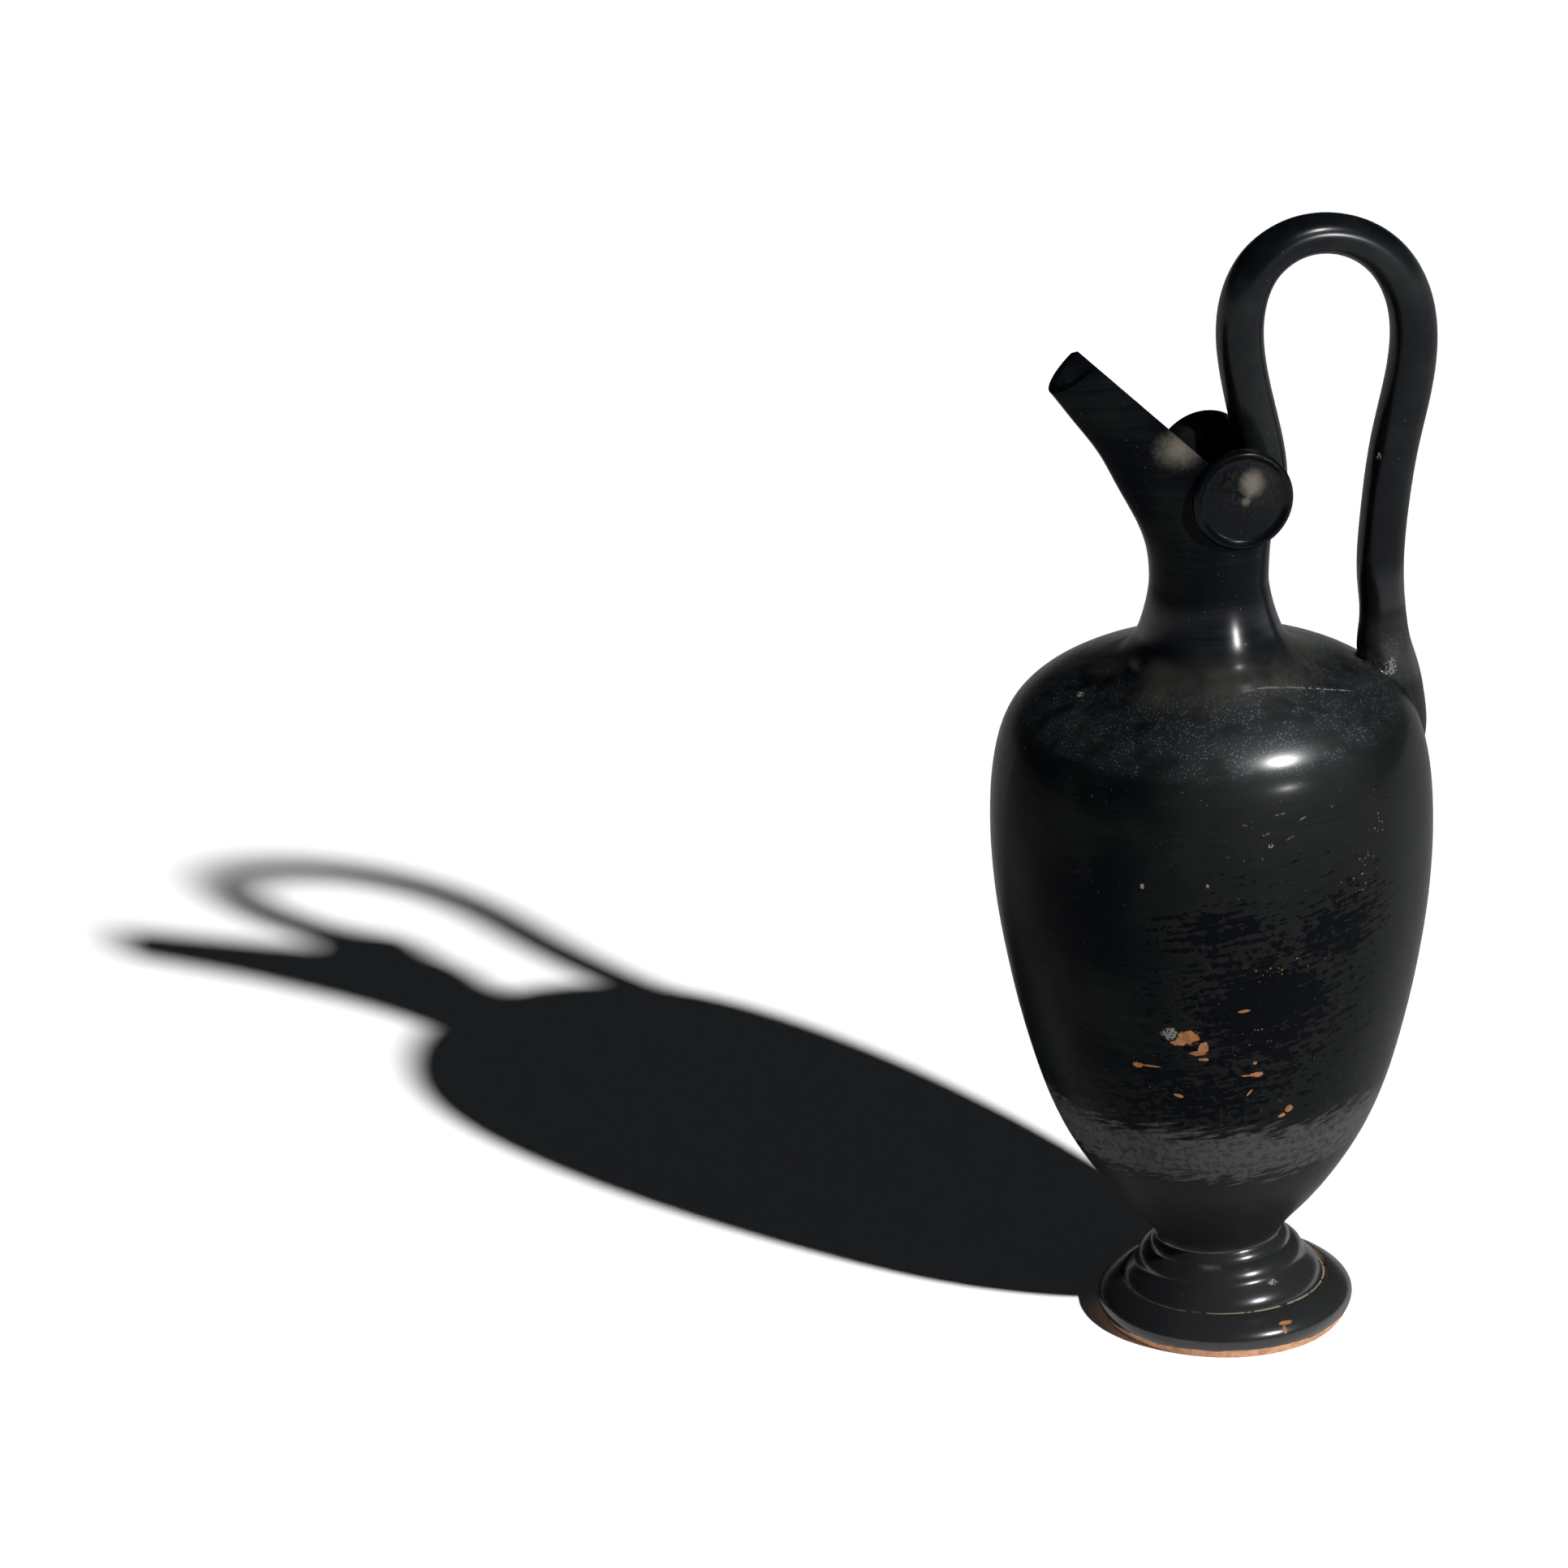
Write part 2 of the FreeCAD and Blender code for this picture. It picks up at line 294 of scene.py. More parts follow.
@dataclass
class Foot:
    """Ring foot with a groove, a flared moulding and a bead, in millimetres."""

    ring: tuple = ((28.8, -1.6), (31.1, 0.0), (32.7, 2.6), (33.3, 5.2), (30.5, 8.8), (27.0, 10.8))
    groove: tuple = (26.2, 9.8)
    moulding_base: tuple = ((0, 12.5), (22.0, 12.5), (25.6, 8.3), (26.4, 8.3))
    moulding: tuple = ((26.4, 10.3), (25.6, 12.9), (23.1, 15.8), (22.0, 17.0))
    lip: tuple = ((22.0, 17.0), (21.3, 19.0), (18.6, 21.3))
    bead: tuple = ((18.6, 21.3), (17.8, 23.0), (16.0, 24.4))
    lean: float = 1.41
    moulding_lean: float = 2.8
    moulding_pitch: float = 2.5
    shift: float = 1.2
    recess_radius: float = 24.5
    recess_depth: float = 11.5
    recess_corner: float = 6.0
    recess_middle: float = 9.0
    core_radius: float = 22.0
    core_height: float = 13.0
    below: float = 5.0
    ground_block: float = 100.0
    turns: int = 160
    spacing: float = 0.8
    bend_step: int = 15

    def recess_solid(self) -> Object:
        """Builds the hollow underneath as a closed shape that reaches below the ground."""
        depth = self.recess_depth
        bend = quarter(self.recess_radius, depth, self.recess_corner, self.bend_step)
        low = [(0, -self.below), (self.recess_radius, -self.below)]
        top = [(self.recess_middle, depth), (0, depth)]
        return as_object(spun(low + bend + top, self.turns), "recess", Region.FOOT)

    def ground(self) -> Object:
        """Builds a block whose top is the ground, which cuts the foot flat."""
        bm = bmesh.new()
        size = self.ground_block
        bmesh.ops.create_cube(bm, size=size, matrix=Matrix.Translation((0, 0, -size / 2)))
        return as_object(bm, "ground", Region.FOOT)

    def ring_solid(self) -> Object:
        """Builds the ring, leaning a little towards the beak."""
        outside = [tuple(p) for p in SmoothCurve(list(self.ring)).run(self.spacing)]
        top = [self.groove, (self.core_radius, self.core_height), (0, self.core_height)]
        bm = spun([(0, self.ring[0][1])] + outside + top, self.turns)
        transformed(bm, turned(-self.lean, "Y"))
        return as_object(bm, "foot_ring", Region.FOOT)

    def moulding_solid(self) -> Object:
        """Builds the flare, its lip and the bead, a little askew and off the ring's middle."""
        outline = list(self.moulding_base)
        for run in (self.moulding, self.lip, self.bead):
            outline += [tuple(p) for p in SmoothCurve(list(run)).run(self.spacing)]
        outline.append((0, self.bead[-1][1]))
        radius, height = self.moulding[0]
        middle, front = Vector((0, 0, height)), Vector((0, -radius, height))
        leaning = about(middle, turned(-self.moulding_lean, "Y"))
        pitched = about(front, turned(-self.moulding_pitch, "X"))
        shifted = Matrix.Translation((-self.shift, 0, 0))
        bm = transformed(spun(outline, self.turns), shifted @ pitched @ leaning)
        return as_object(bm, "foot_moulding", Region.FOOT)

    def build(self) -> Object:
        """Builds the whole foot."""
        base = self.ring_solid()
        joined(base, self.moulding_solid(), "UNION")
        joined(base, self.recess_solid(), "DIFFERENCE")
        joined(base, self.ground(), "DIFFERENCE")
        return base


@dataclass
class Pot:
    """Thrown body, neck and beaked mouth, with the hollow inside, in millimetres."""

    joint_height: float = 24.4
    outline: tuple = (
        (15.0, -2.4), (18.5, 3.1), (25.0, 10.6), (32.7, 20.6), (40.3, 33.6), (47.3, 52.6),
        (53.8, 80.6), (56.9, 103.6), (57.4, 121.6), (56.0, 135.6), (51.6, 147.1), (41.0, 155.1),
        (27.4, 160.9), (20.7, 166.5), (17.4, 174.2), (15.5, 183.6),
    )
    body_wall: float = 3.4
    mouth_wall: float = 2.5
    floor: float = 5.0
    mouth: tuple = (
        (0.0, 0.0, -15.5, 0.0, 15.5), (0.1, 8.5, -15.8, 7.8, 15.8),
        (-0.4, 22.0, -19.0, 18.5, 13.7), (-5.5, 38.5, -24.7, 30.2, 11.4),
        (-12.5, 46.6, -28.6, 38.2, 9.9), (-20.0, 54.4, -32.8, 45.0, 8.9),
        (-27.5, 62.0, -37.7, 52.0, 7.7), (-35.5, 70.0, -44.6, 61.8, 7.0),
        (-42.0, 76.6, -51.0, 68.8, 6.7),
    )
    rim_place: tuple = (-3.6, 36.75)
    rim_slope: float = 46.2
    rim_roll: float = 2.0
    rear_rim: float = 31.0
    tip_place: tuple = (-42.9, 59.4)
    tip_slope: float = 38.0
    tip_corner: float = 66.3
    edge_round: float = 0.45
    base_middle: float = 8.0
    floor_bend: float = 0.17
    overlap: float = 0.25
    sliver: float = 0.55
    rim_sliver: float = 0.6
    waist_reach: float = 5.0
    waist_rounds: int = 3
    turns: int = 144
    spacing: float = 1.5
    inner_spacing: float = 2.6
    mouth_spacing: float = 0.9

    @property
    def neck_top(self) -> float:
        """Height at which the mouth starts."""
        return self.joint_height + self.outline[-1][1]

    def outside(self) -> list:
        """Gives the outline of the outside, from the middle below up to the neck."""
        points = [(r, z + self.joint_height) for r, z in self.outline]
        run = SmoothCurve(points).run(self.spacing)
        low = points[0][1]
        return [(0, low), (self.base_middle, low)] + [tuple(p) for p in run]

    def inside(self, spare: float = 0.0) -> list:
        """Gives the outline of the hollow.

        Args:
            spare: How far to widen it into the wall.

        Returns:
            Places as (radius, height), from the middle of the floor up to the neck.
        """
        points = [(r, z + self.joint_height) for r, z in self.outline]
        along = SmoothCurve(points).directions()
        wall = self.body_wall - spare
        run = []
        for (radius, height), (out, up) in list(zip(points, along))[2:-2]:
            run.append((radius - up * wall, height + out * wall))
        floor = self.joint_height + self.floor - spare
        run.insert(0, (run[0][0] / 2, floor + (run[0][1] - floor) * self.floor_bend))
        run.insert(0, (0, floor))
        below = (self.body_wall + self.mouth_wall) / 2 - spare
        run.append((points[-2][0] - below, points[-2][1]))
        run.append((points[-1][0] - self.mouth_wall + spare, points[-1][1]))
        return [tuple(p) for p in SmoothCurve(run).run(self.inner_spacing)]

    def add_mouth(self, bm: BMesh, inset: float) -> None:
        """Draws the open top ring of a turned shell on into the beaked tube.

        Args:
            bm: Shell that ends in an open ring at the neck.
            inset: How far the tube lies inside the outer face of the clay.
        """
        turn = bm.verts.layers.float.new("turn")
        ring = [e for e in bm.edges if e.is_boundary]
        for vert in {v for e in ring for v in e.verts}:
            vert[turn] = math.atan2(vert.co.y, vert.co.x)
        rows = SmoothCurve(list(self.mouth)).run(self.mouth_spacing)[1:]
        for x, rise, under_x, under_rise, half in rows:
            down = Vector((under_x - x, 0, under_rise - rise))
            down *= (down.length - inset) / down.length
            centre = self.above(x, rise)
            verts, ring = grown(bm, ring)
            for vert in verts:
                side = Vector((0, (half - inset) * math.sin(vert[turn]), 0))
                vert.co = centre - down * math.cos(vert[turn]) + side

    def above(self, x: float, rise: float) -> Vector:
        """Gives a place in the middle plane, measured up from the neck's top."""
        return Vector((x, 0, self.neck_top + rise))

    def cut_planes(self) -> list:
        """Gives the planes of the beak's rim, the rear rim and the beak's cut end.

        Returns:
            Three pairs of a point and an upward normal.
        """
        slope, tip = math.radians(self.rim_slope), math.radians(self.tip_slope)
        up_beak = Vector((-math.cos(slope), 0, math.sin(slope)))
        roll = turned(self.rim_roll, up_beak)
        x, rise = self.rim_place
        corner_x = x + (rise - self.rear_rim) / math.tan(slope)
        tip_x, tip_rise = self.tip_place
        return [
            (self.above(x, rise), roll @ Vector((math.sin(slope), 0, math.cos(slope)))),
            (self.above(corner_x, self.rear_rim), roll @ UP),
            (self.above(tip_x, tip_rise), Vector((-math.sin(tip), 0, math.cos(tip)))),
        ]

    def cut(self, bm: BMesh, plane: tuple, clear: bool) -> None:
        """Cuts a shell along a plane and may clear what is above it."""
        geom = bm.verts[:] + bm.edges[:] + bm.faces[:]
        point, normal = plane
        bmesh.ops.bisect_plane(
            bm, geom=geom, dist=TOUCH, plane_co=point, plane_no=normal, clear_outer=clear
        )

    def trim(self, bm: BMesh) -> None:
        """Cuts the mouth along its sloping rim, its rear rim and the end of the beak."""
        slope, rear, tip = self.cut_planes()
        for plane in (slope, rear):
            self.cut(bm, plane, False)
        gone = [
            f
            for f in bm.faces
            if all((f.calc_center_median() - place).dot(up) > 0 for place, up in (slope, rear))
        ]
        bmesh.ops.delete(bm, geom=gone, context="FACES")
        for plane in (tip, (self.above(0, self.tip_corner), UP)):
            self.cut(bm, plane, True)
        self.weld_slivers(bm)

    def weld_slivers(self, bm: BMesh) -> None:
        """Draws points that lie just beside the cut onto it, so that its edge can be rounded."""
        nearest = self.mouth_spacing * self.sliver
        for _ in range(2):
            targets = {}
            for edge in bm.edges:
                a, b = edge.verts
                if edge.calc_length() < nearest and a.is_boundary != b.is_boundary:
                    inner, rim = (b, a) if a.is_boundary else (a, b)
                    targets.setdefault(inner, rim)
            bmesh.ops.weld_verts(bm, targetmap=targets)
        rim = [v for v in bm.verts if v.is_boundary]
        bmesh.ops.remove_doubles(bm, verts=rim, dist=nearest * self.rim_sliver)

    def shell(self, outline: list, inset: float) -> BMesh:
        """Makes the outer or the inner face of the clay, with its mouth trimmed."""
        bm = spun(outline, self.turns)
        self.add_mouth(bm, inset)
        self.trim(bm)
        return bm

    def build(self) -> Object:
        """Builds the clay between the outer and the inner face, with a rounded rim."""
        bm = self.shell(self.outside(), 0.0)
        inner = self.shell(self.inside(), self.mouth_wall)
        held = bpy.data.meshes.new("inner")
        inner.to_mesh(held)
        bm.from_mesh(held)
        inner.free()
        bpy.data.meshes.remove(held)
        rim = [e for e in bm.edges if e.is_boundary]
        bmesh.ops.bridge_loops(bm, edges=rim)
        bmesh.ops.recalc_face_normals(bm, faces=bm.faces)
        bmesh.ops.bevel(
            bm,
            geom=rim,
            offset=self.edge_round,
            segments=2,
            profile=0.5,
            affect="EDGES",
            clamp_overlap=True,
            material=-1,
        )
        waist = [v for v in bm.verts if abs(v.co.z - self.neck_top) < self.waist_reach]
        for _ in range(self.waist_rounds):
            smoothed(bm, waist, upright=False)
        return as_object(bm, "pot", Region.THROWN)

    def hollow(self) -> Object:
        """Builds the body's hollow as a closed shape, a little into the wall."""
        outline = self.inside(self.overlap)
        return as_object(spun(outline + [(0, outline[-1][1])], self.turns), "hollow", Region.THROWN)

    def bore(self) -> Object:
        """Builds the whole mouth's bore as a closed shape, a little into the wall."""
        start = self.mouth_wall - self.overlap
        radius = self.outline[-1][0] - start
        bm = spun([(0, self.neck_top), (radius, self.neck_top)], self.turns)
        self.add_mouth(bm, start)
        bmesh.ops.holes_fill(bm, edges=[e for e in bm.edges if e.is_boundary])
        return as_object(bm, "bore", Region.THROWN)


@dataclass
class Disc:
    """Round clay disc beside the mouth, with a sunk ring round a low cone, in millimetres."""

    side: Side
    radius: float = 13.4
    thickness: float = 7.0
    place: tuple = (4.1, 13.2, 27.5)
    splay: float = 4.0
    tilt: float = 5.0
    edge_radius: float = 1.3
    face_radius: float = 10.8
    face_depth: float = 1.1
    cone_foot_radius: float = 9.7
    nipple_radius: float = 4.0
    cone_height: float = 1.2
    nipple_height: float = 2.0
    nipple_tip: float = 0.9
    soft: float = 0.1
    back_middle: float = 6.0
    back_bend: float = 0.5
    front_bend: float = 0.45
    turns: int = 96
    bend_step: int = 18

    def outline(self) -> list:
        """Gives the outline from the middle of the back to the tip of the nipple."""
        face = self.thickness / 2
        hollow = face - self.face_depth
        radius, edge = self.radius, self.edge_radius
        middle = (self.back_middle, -face)
        back = [(0, -face), middle, (radius - edge, -face), (radius, edge - face)]
        bend = quarter(radius, face, edge, self.bend_step)
        front = [
            (self.face_radius, hollow),
            (self.cone_foot_radius, hollow + self.soft),
            (self.nipple_radius, hollow + self.cone_height),
            (self.nipple_tip, hollow + self.nipple_height - self.soft),
            (0, hollow + self.nipple_height),
        ]
        front = eased([bend[-1]] + front, self.front_bend)
        return eased(back, self.back_bend)[:-1] + bend + front[1:]

    def build(self, neck_top: float) -> Object:
        """Builds the disc in its place.

        Args:
            neck_top: Height from which its place is measured.

        Returns:
            The disc, upright beside the mouth.
        """
        x, y, rise = self.place
        side = self.side.value
        turn = turned(self.splay * side, "Z") @ turned((self.tilt - 90) * side, "X")
        place = Matrix.Translation((x, y * side, neck_top + rise))
        bm = transformed(spun(self.outline(), self.turns), place @ turn)
        return as_object(bm, "disc_" + self.side.name.lower(), Region.DISC)


@dataclass
class Handle:
    """Pulled clay rod from the mouth over to the shoulder, in millimetres."""

    line: tuple = (
        (13.9, 7.0, 1.4), (15.3, 17.5, 5.2), (15.4, 28.5, 6.2), (13.4, 40.9, 6.3),
        (10.1, 58.0, 6.2), (9.9, 73.5, 6.2), (15.0, 85.2, 5.9), (24.7, 91.0, 5.5),
        (37.6, 90.3, 5.4), (50.1, 81.7, 5.8), (56.8, 66.0, 6.1), (56.2, 49.0, 6.4),
        (52.0, 31.2, 6.4), (48.7, 11.3, 6.2), (47.5, -7.0, 6.1), (48.1, -18.5, 6.2),
        (48.5, -27.5, 7.3), (50.4, -34.5, 7.4), (52.2, -42.5, 7.0), (53.3, -51.5, 6.1),
        (51.2, -61.5, 3.8),
    )
    turns: int = 56
    spacing: float = 1.2

    def build(self, neck_top: float) -> Object:
        """Draws a round ring along the handle's line.

        Args:
            neck_top: Height from which the line is measured.

        Returns:
            The closed rod.
        """
        curve = SmoothCurve(list(self.line))
        run = curve.run(self.spacing)
        ahead = np.gradient(run[:, :2], axis=0)
        bm = bmesh.new()
        turn = bm.verts.layers.float.new("turn")
        verts = bmesh.ops.create_circle(bm, segments=self.turns, radius=1)["verts"]
        for vert in verts:
            vert[turn] = math.atan2(vert.co.y, vert.co.x)
        ring = bm.edges[:]
        for i, ((x, rise, radius), (along_x, along_z)) in enumerate(zip(run, ahead)):
            if i:
                verts, ring = grown(bm, ring)
            across = Vector((-along_z, 0, along_x)).normalized()
            centre = Vector((x, 0, neck_top + rise))
            for vert in verts:
                out = across * math.cos(vert[turn]) + Vector((0, math.sin(vert[turn]), 0))
                vert.co = centre + out * radius
        bmesh.ops.holes_fill(bm, edges=[e for e in bm.edges if e.is_boundary])
        return as_object(bm, "handle", Region.PULLED)


@dataclass
class Jug:
    """The whole jug, one piece of fired clay."""

    foot: Foot = field(default_factory=Foot)
    pot: Pot = field(default_factory=Pot)
    handle: Handle = field(default_factory=Handle)
    lean: float = 1.41
    shift: float = 2.6
    fillet_reach: float = 2.2
    fillet_rounds: int = 10
    fillet_margin: float = 1.3
    fillet_taper: float = 0.6
    longest_edge: float = 0.9
    unevenness: float = 0.12
    waver_share: tuple = (0.3, 0.8)
    quick_share: float = 0.5
    slow_wave: float = 0.028
    quick_wave: float = 0.06
    quick_start: tuple = (9, 4, 7)
    ground_zone: float = 1.0
    crease: float = 42.0

    def stance(self) -> Matrix:
        """Gives the turn and step by which the thrown pot sits on its foot."""
        pivot = Vector((0, 0, self.pot.joint_height))
        lean = about(pivot, turned(-self.lean, "Y"))
        return Matrix.Translation((-self.shift, 0, 0)) @ lean

    def upper(self) -> Object:
        """Builds pot, discs and handle as one piece."""
        base = self.pot.build()
        for side in Side:
            disc = Disc(side).build(self.pot.neck_top)
            joined(disc, self.pot.bore(), "DIFFERENCE")
            joined(base, disc, "UNION")
        rod = self.handle.build(self.pot.neck_top)
        joined(rod, self.pot.hollow(), "DIFFERENCE")
        joined(base, rod, "UNION")
        base.data.transform(self.stance())
        return base

    def soften(self, bm: BMesh) -> None:
        """Fills the creases where two regions of the clay meet, as wet clay was smoothed there."""
        layer = bm.faces.layers.int["region"]
        seam = {
            v
            for e in bm.edges
            if len(e.link_faces) == 2 and e.link_faces[0][layer] != e.link_faces[1][layer]
            for v in e.verts
        }
        tree = kdtree.KDTree(len(seam))
        for i, vert in enumerate(seam):
            tree.insert(vert.co, i)
        tree.balance()
        reach = self.fillet_reach
        near = {v for v in bm.verts if tree.find(v.co)[2] < reach * self.fillet_margin}
        faces = [f for f in bm.faces if len(f.verts) > 3 and not near.isdisjoint(f.verts)]
        bmesh.ops.poke(bm, faces=faces)
        for _ in range(2):
            long = [
                e
                for e in bm.edges
                if e.calc_length() > self.longest_edge
                and all(tree.find(v.co)[2] < reach for v in e.verts)
            ]
            made = bmesh.ops.subdivide_edges(bm, edges=long, cuts=1)
            faces = [g for g in made["geom"] if isinstance(g, BMFace)]
            bmesh.ops.poke(bm, faces=[f for f in faces if len(f.verts) > 3])
        for i in range(self.fillet_rounds):
            share = 1 - self.fillet_taper * i / self.fillet_rounds
            smoothed(bm, [v for v in bm.verts if tree.find(v.co)[2] < reach * share])

    def waver(self, bm: BMesh) -> None:
        """Presses the clay in a little here and there, as hands leave it."""
        bm.normal_update()
        least, more = self.waver_share
        for vert in bm.verts:
            if vert.co.z < self.ground_zone:
                continue
            quick = noise.noise(vert.co * self.quick_wave + Vector(self.quick_start))
            wave = noise.noise(vert.co * self.slow_wave) + self.quick_share * quick
            vert.co -= vert.normal * self.unevenness * (least + more * wave)

    def keep_within(self, bm: BMesh) -> None:
        """Draws the outermost points back onto the frame's box."""
        for vert in bm.verts:
            vert.co = [min(max(c, a), b) for c, a, b in zip(vert.co, *CAD_BOX)]

    def mark_thrown(self, bm: BMesh) -> None:
        """Notes on each point how far its clay was shaped on the wheel."""
        layer = bm.faces.layers.int["region"]
        thrown = bm.verts.layers.float.new("thrown")
        by_hand = (Region.PULLED.value, Region.DISC.value)
        for vert in bm.verts:
            pulled = [face[layer] in by_hand for face in vert.link_faces]
            vert[thrown] = 1 - sum(pulled) / len(pulled) if pulled else 1.0

    def build(self) -> Object:
        """Builds the finished shape in metres, in the frame's place."""
        made = self.upper()
        foot = self.foot.build()
        joined(made, foot, "UNION")
        bm = bmesh.new()
        bm.from_mesh(made.data)
        self.soften(bm)
        self.waver(bm)
        bmesh.ops.transform(bm, matrix=Matrix.Scale(MM, 4), verts=bm.verts)
        self.keep_within(bm)
        bmesh.ops.recalc_face_normals(bm, faces=bm.faces)
        for face in bm.faces:
            face.smooth = True
            face.material_index = 0
        self.mark_thrown(bm)
        for edge in bm.edges:
            edge.smooth = edge.calc_face_angle(0) < math.radians(self.crease)
        bm.to_mesh(made.data)
        open_edges = sum(not e.is_manifold for e in bm.edges)
        log.info("jug: %d faces, %d open edges", len(bm.faces), open_edges)
        bm.free()
        made.name = made.data.name = "black_slip_jug"
        return made


class Value:
    """What a node puts out, with plain arithmetic that adds the nodes for it."""

    def __init__(self, board: "Board", socket: NodeSocket) -> None:
        """Takes hold of an output."""
        self.board = board
        self.socket = socket

    def __add__(self, other: object) -> "Value":
        """Adds a value or plain number."""
        return self.board.math("ADD", self, other)

    def __mul__(self, other: object) -> "Value":
        """Multiplies by a value or plain number."""
        return self.board.math("MULTIPLY", self, other)

    def __sub__(self, other: object) -> "Value":
        """Takes a value or plain number away."""
        return self.board.math("SUBTRACT", self, other)

    def __rsub__(self, other: float) -> "Value":
        """Is taken away from a plain number."""
        return self.board.math("SUBTRACT", other, self)

    def __truediv__(self, other: object) -> "Value":
        """Divides by a value or plain number."""
        return self.board.math("DIVIDE", self, other)

    def scaled(self, factor: float, added: float) -> "Value":
        """Multiplies by one plain number and adds another."""
        return self * factor + added

    def step(self, start: float, end: float) -> "Value":
        """Rises smoothly from 0 at the start to 1 at the end."""
        feeds = {"Value": self, "From Min": start, "From Max": end}
        return self.board.value("MapRange", feeds, interpolation_type="SMOOTHSTEP")


class Board:
    """The nodes of one material or group, with short ways to add and join them."""

    def __init__(self, tree: NodeTree) -> None:
        """Takes hold of a node tree."""
        self.tree = tree

    def feed(self, node: Node, feeds: dict) -> None:
        """Sets or links inputs of a node.

        Args:
            node: The node.
            feeds: Plain value or node output for each input, by name or number.
        """
        for name, value in feeds.items():
            if isinstance(value, Value):
                self.tree.links.new(value.socket, node.inputs[name])
            else:
                node.inputs[name].default_value = value

    def value(self, kind: str, feeds: dict, output: object = 0, **settings: object) -> Value:
        """Adds a node.

        Args:
            kind: Type of the node, without its ShaderNode prefix.
            feeds: Plain value or node output for each input, by name or number.
            output: Name or number of the output that is wanted.
            settings: The node's other properties.

        Returns:
            That output.
        """
        node = self.tree.nodes.new("ShaderNode" + kind)
        for name, setting in settings.items():
            setattr(node, name, setting)
        self.feed(node, feeds)
        return Value(self, node.outputs[output])

    def math(self, operation: str, *values: object) -> Value:
        """Joins numbers by one operation."""
        return self.value("Math", dict(enumerate(values)), operation=operation)

    def vector(self, operation: str, *values: object, output: str = "Vector") -> Value:
        """Joins vectors by one operation."""
        return self.value("VectorMath", dict(enumerate(values)), output, operation=operation)

    def length(self, vector: Value) -> Value:
        """Measures a vector."""
        return self.vector("LENGTH", vector, output="Value")

    def combined(self, x: Value, y: Value) -> Value:
        """Makes a level vector of two numbers."""
        return self.value("CombineXYZ", {0: x, 1: y})

    def parts(self, vector: Value) -> list:
        """Takes a vector apart into its three numbers."""
        node = self.value("SeparateXYZ", {0: vector}).socket.node
        return [Value(self, socket) for socket in node.outputs]

    def noise(self, place: Value, scale: float, detail: float = 3.0, rough: float = 0.55) -> Value:
        """Gives cloudy values about 0.5."""
        feeds = {"Vector": place, "Scale": scale, "Detail": detail, "Roughness": rough}
        return self.value("TexNoise", feeds)

    def mix(self, share: Value, first: object, second: object) -> Value:
        """Mixes two colours."""
        feeds = {"Factor": share, "A": first, "B": second}
        return self.value("Mix", feeds, "Result", data_type="RGBA")

    def largest(self, *values: object) -> Value:
        """Gives the largest of several numbers."""
        top = values[0]
        for value in values[1:]:
            top = self.math("MAXIMUM", top, value)
        return top


class Effect:
    """A shared node group while it is being built."""

    def __init__(self, name: str, inputs: dict, output: str) -> None:
        """Starts the group.

        Args:
            name: Name of the group.
            inputs: Socket type of each input, by name.
            output: Name of its output, a number.
        """
        self.tree = bpy.data.node_groups.new(name, "ShaderNodeTree")
        for label, kind in inputs.items():
            self.tree.interface.new_socket(label, in_out="INPUT", socket_type="NodeSocket" + kind)
        self.tree.interface.new_socket(output, in_out="OUTPUT", socket_type="NodeSocketFloat")
        self.board = Board(self.tree)
        start = self.tree.nodes.new("NodeGroupInput")
        self.given = [Value(self.board, start.outputs[label]) for label in inputs]

    def finished(self, result: Value) -> NodeTree:
        """Links the result to the group's output and gives the group."""
        end = self.tree.nodes.new("NodeGroupOutput")
        self.tree.links.new(result.socket, end.inputs[0])
        return self.tree


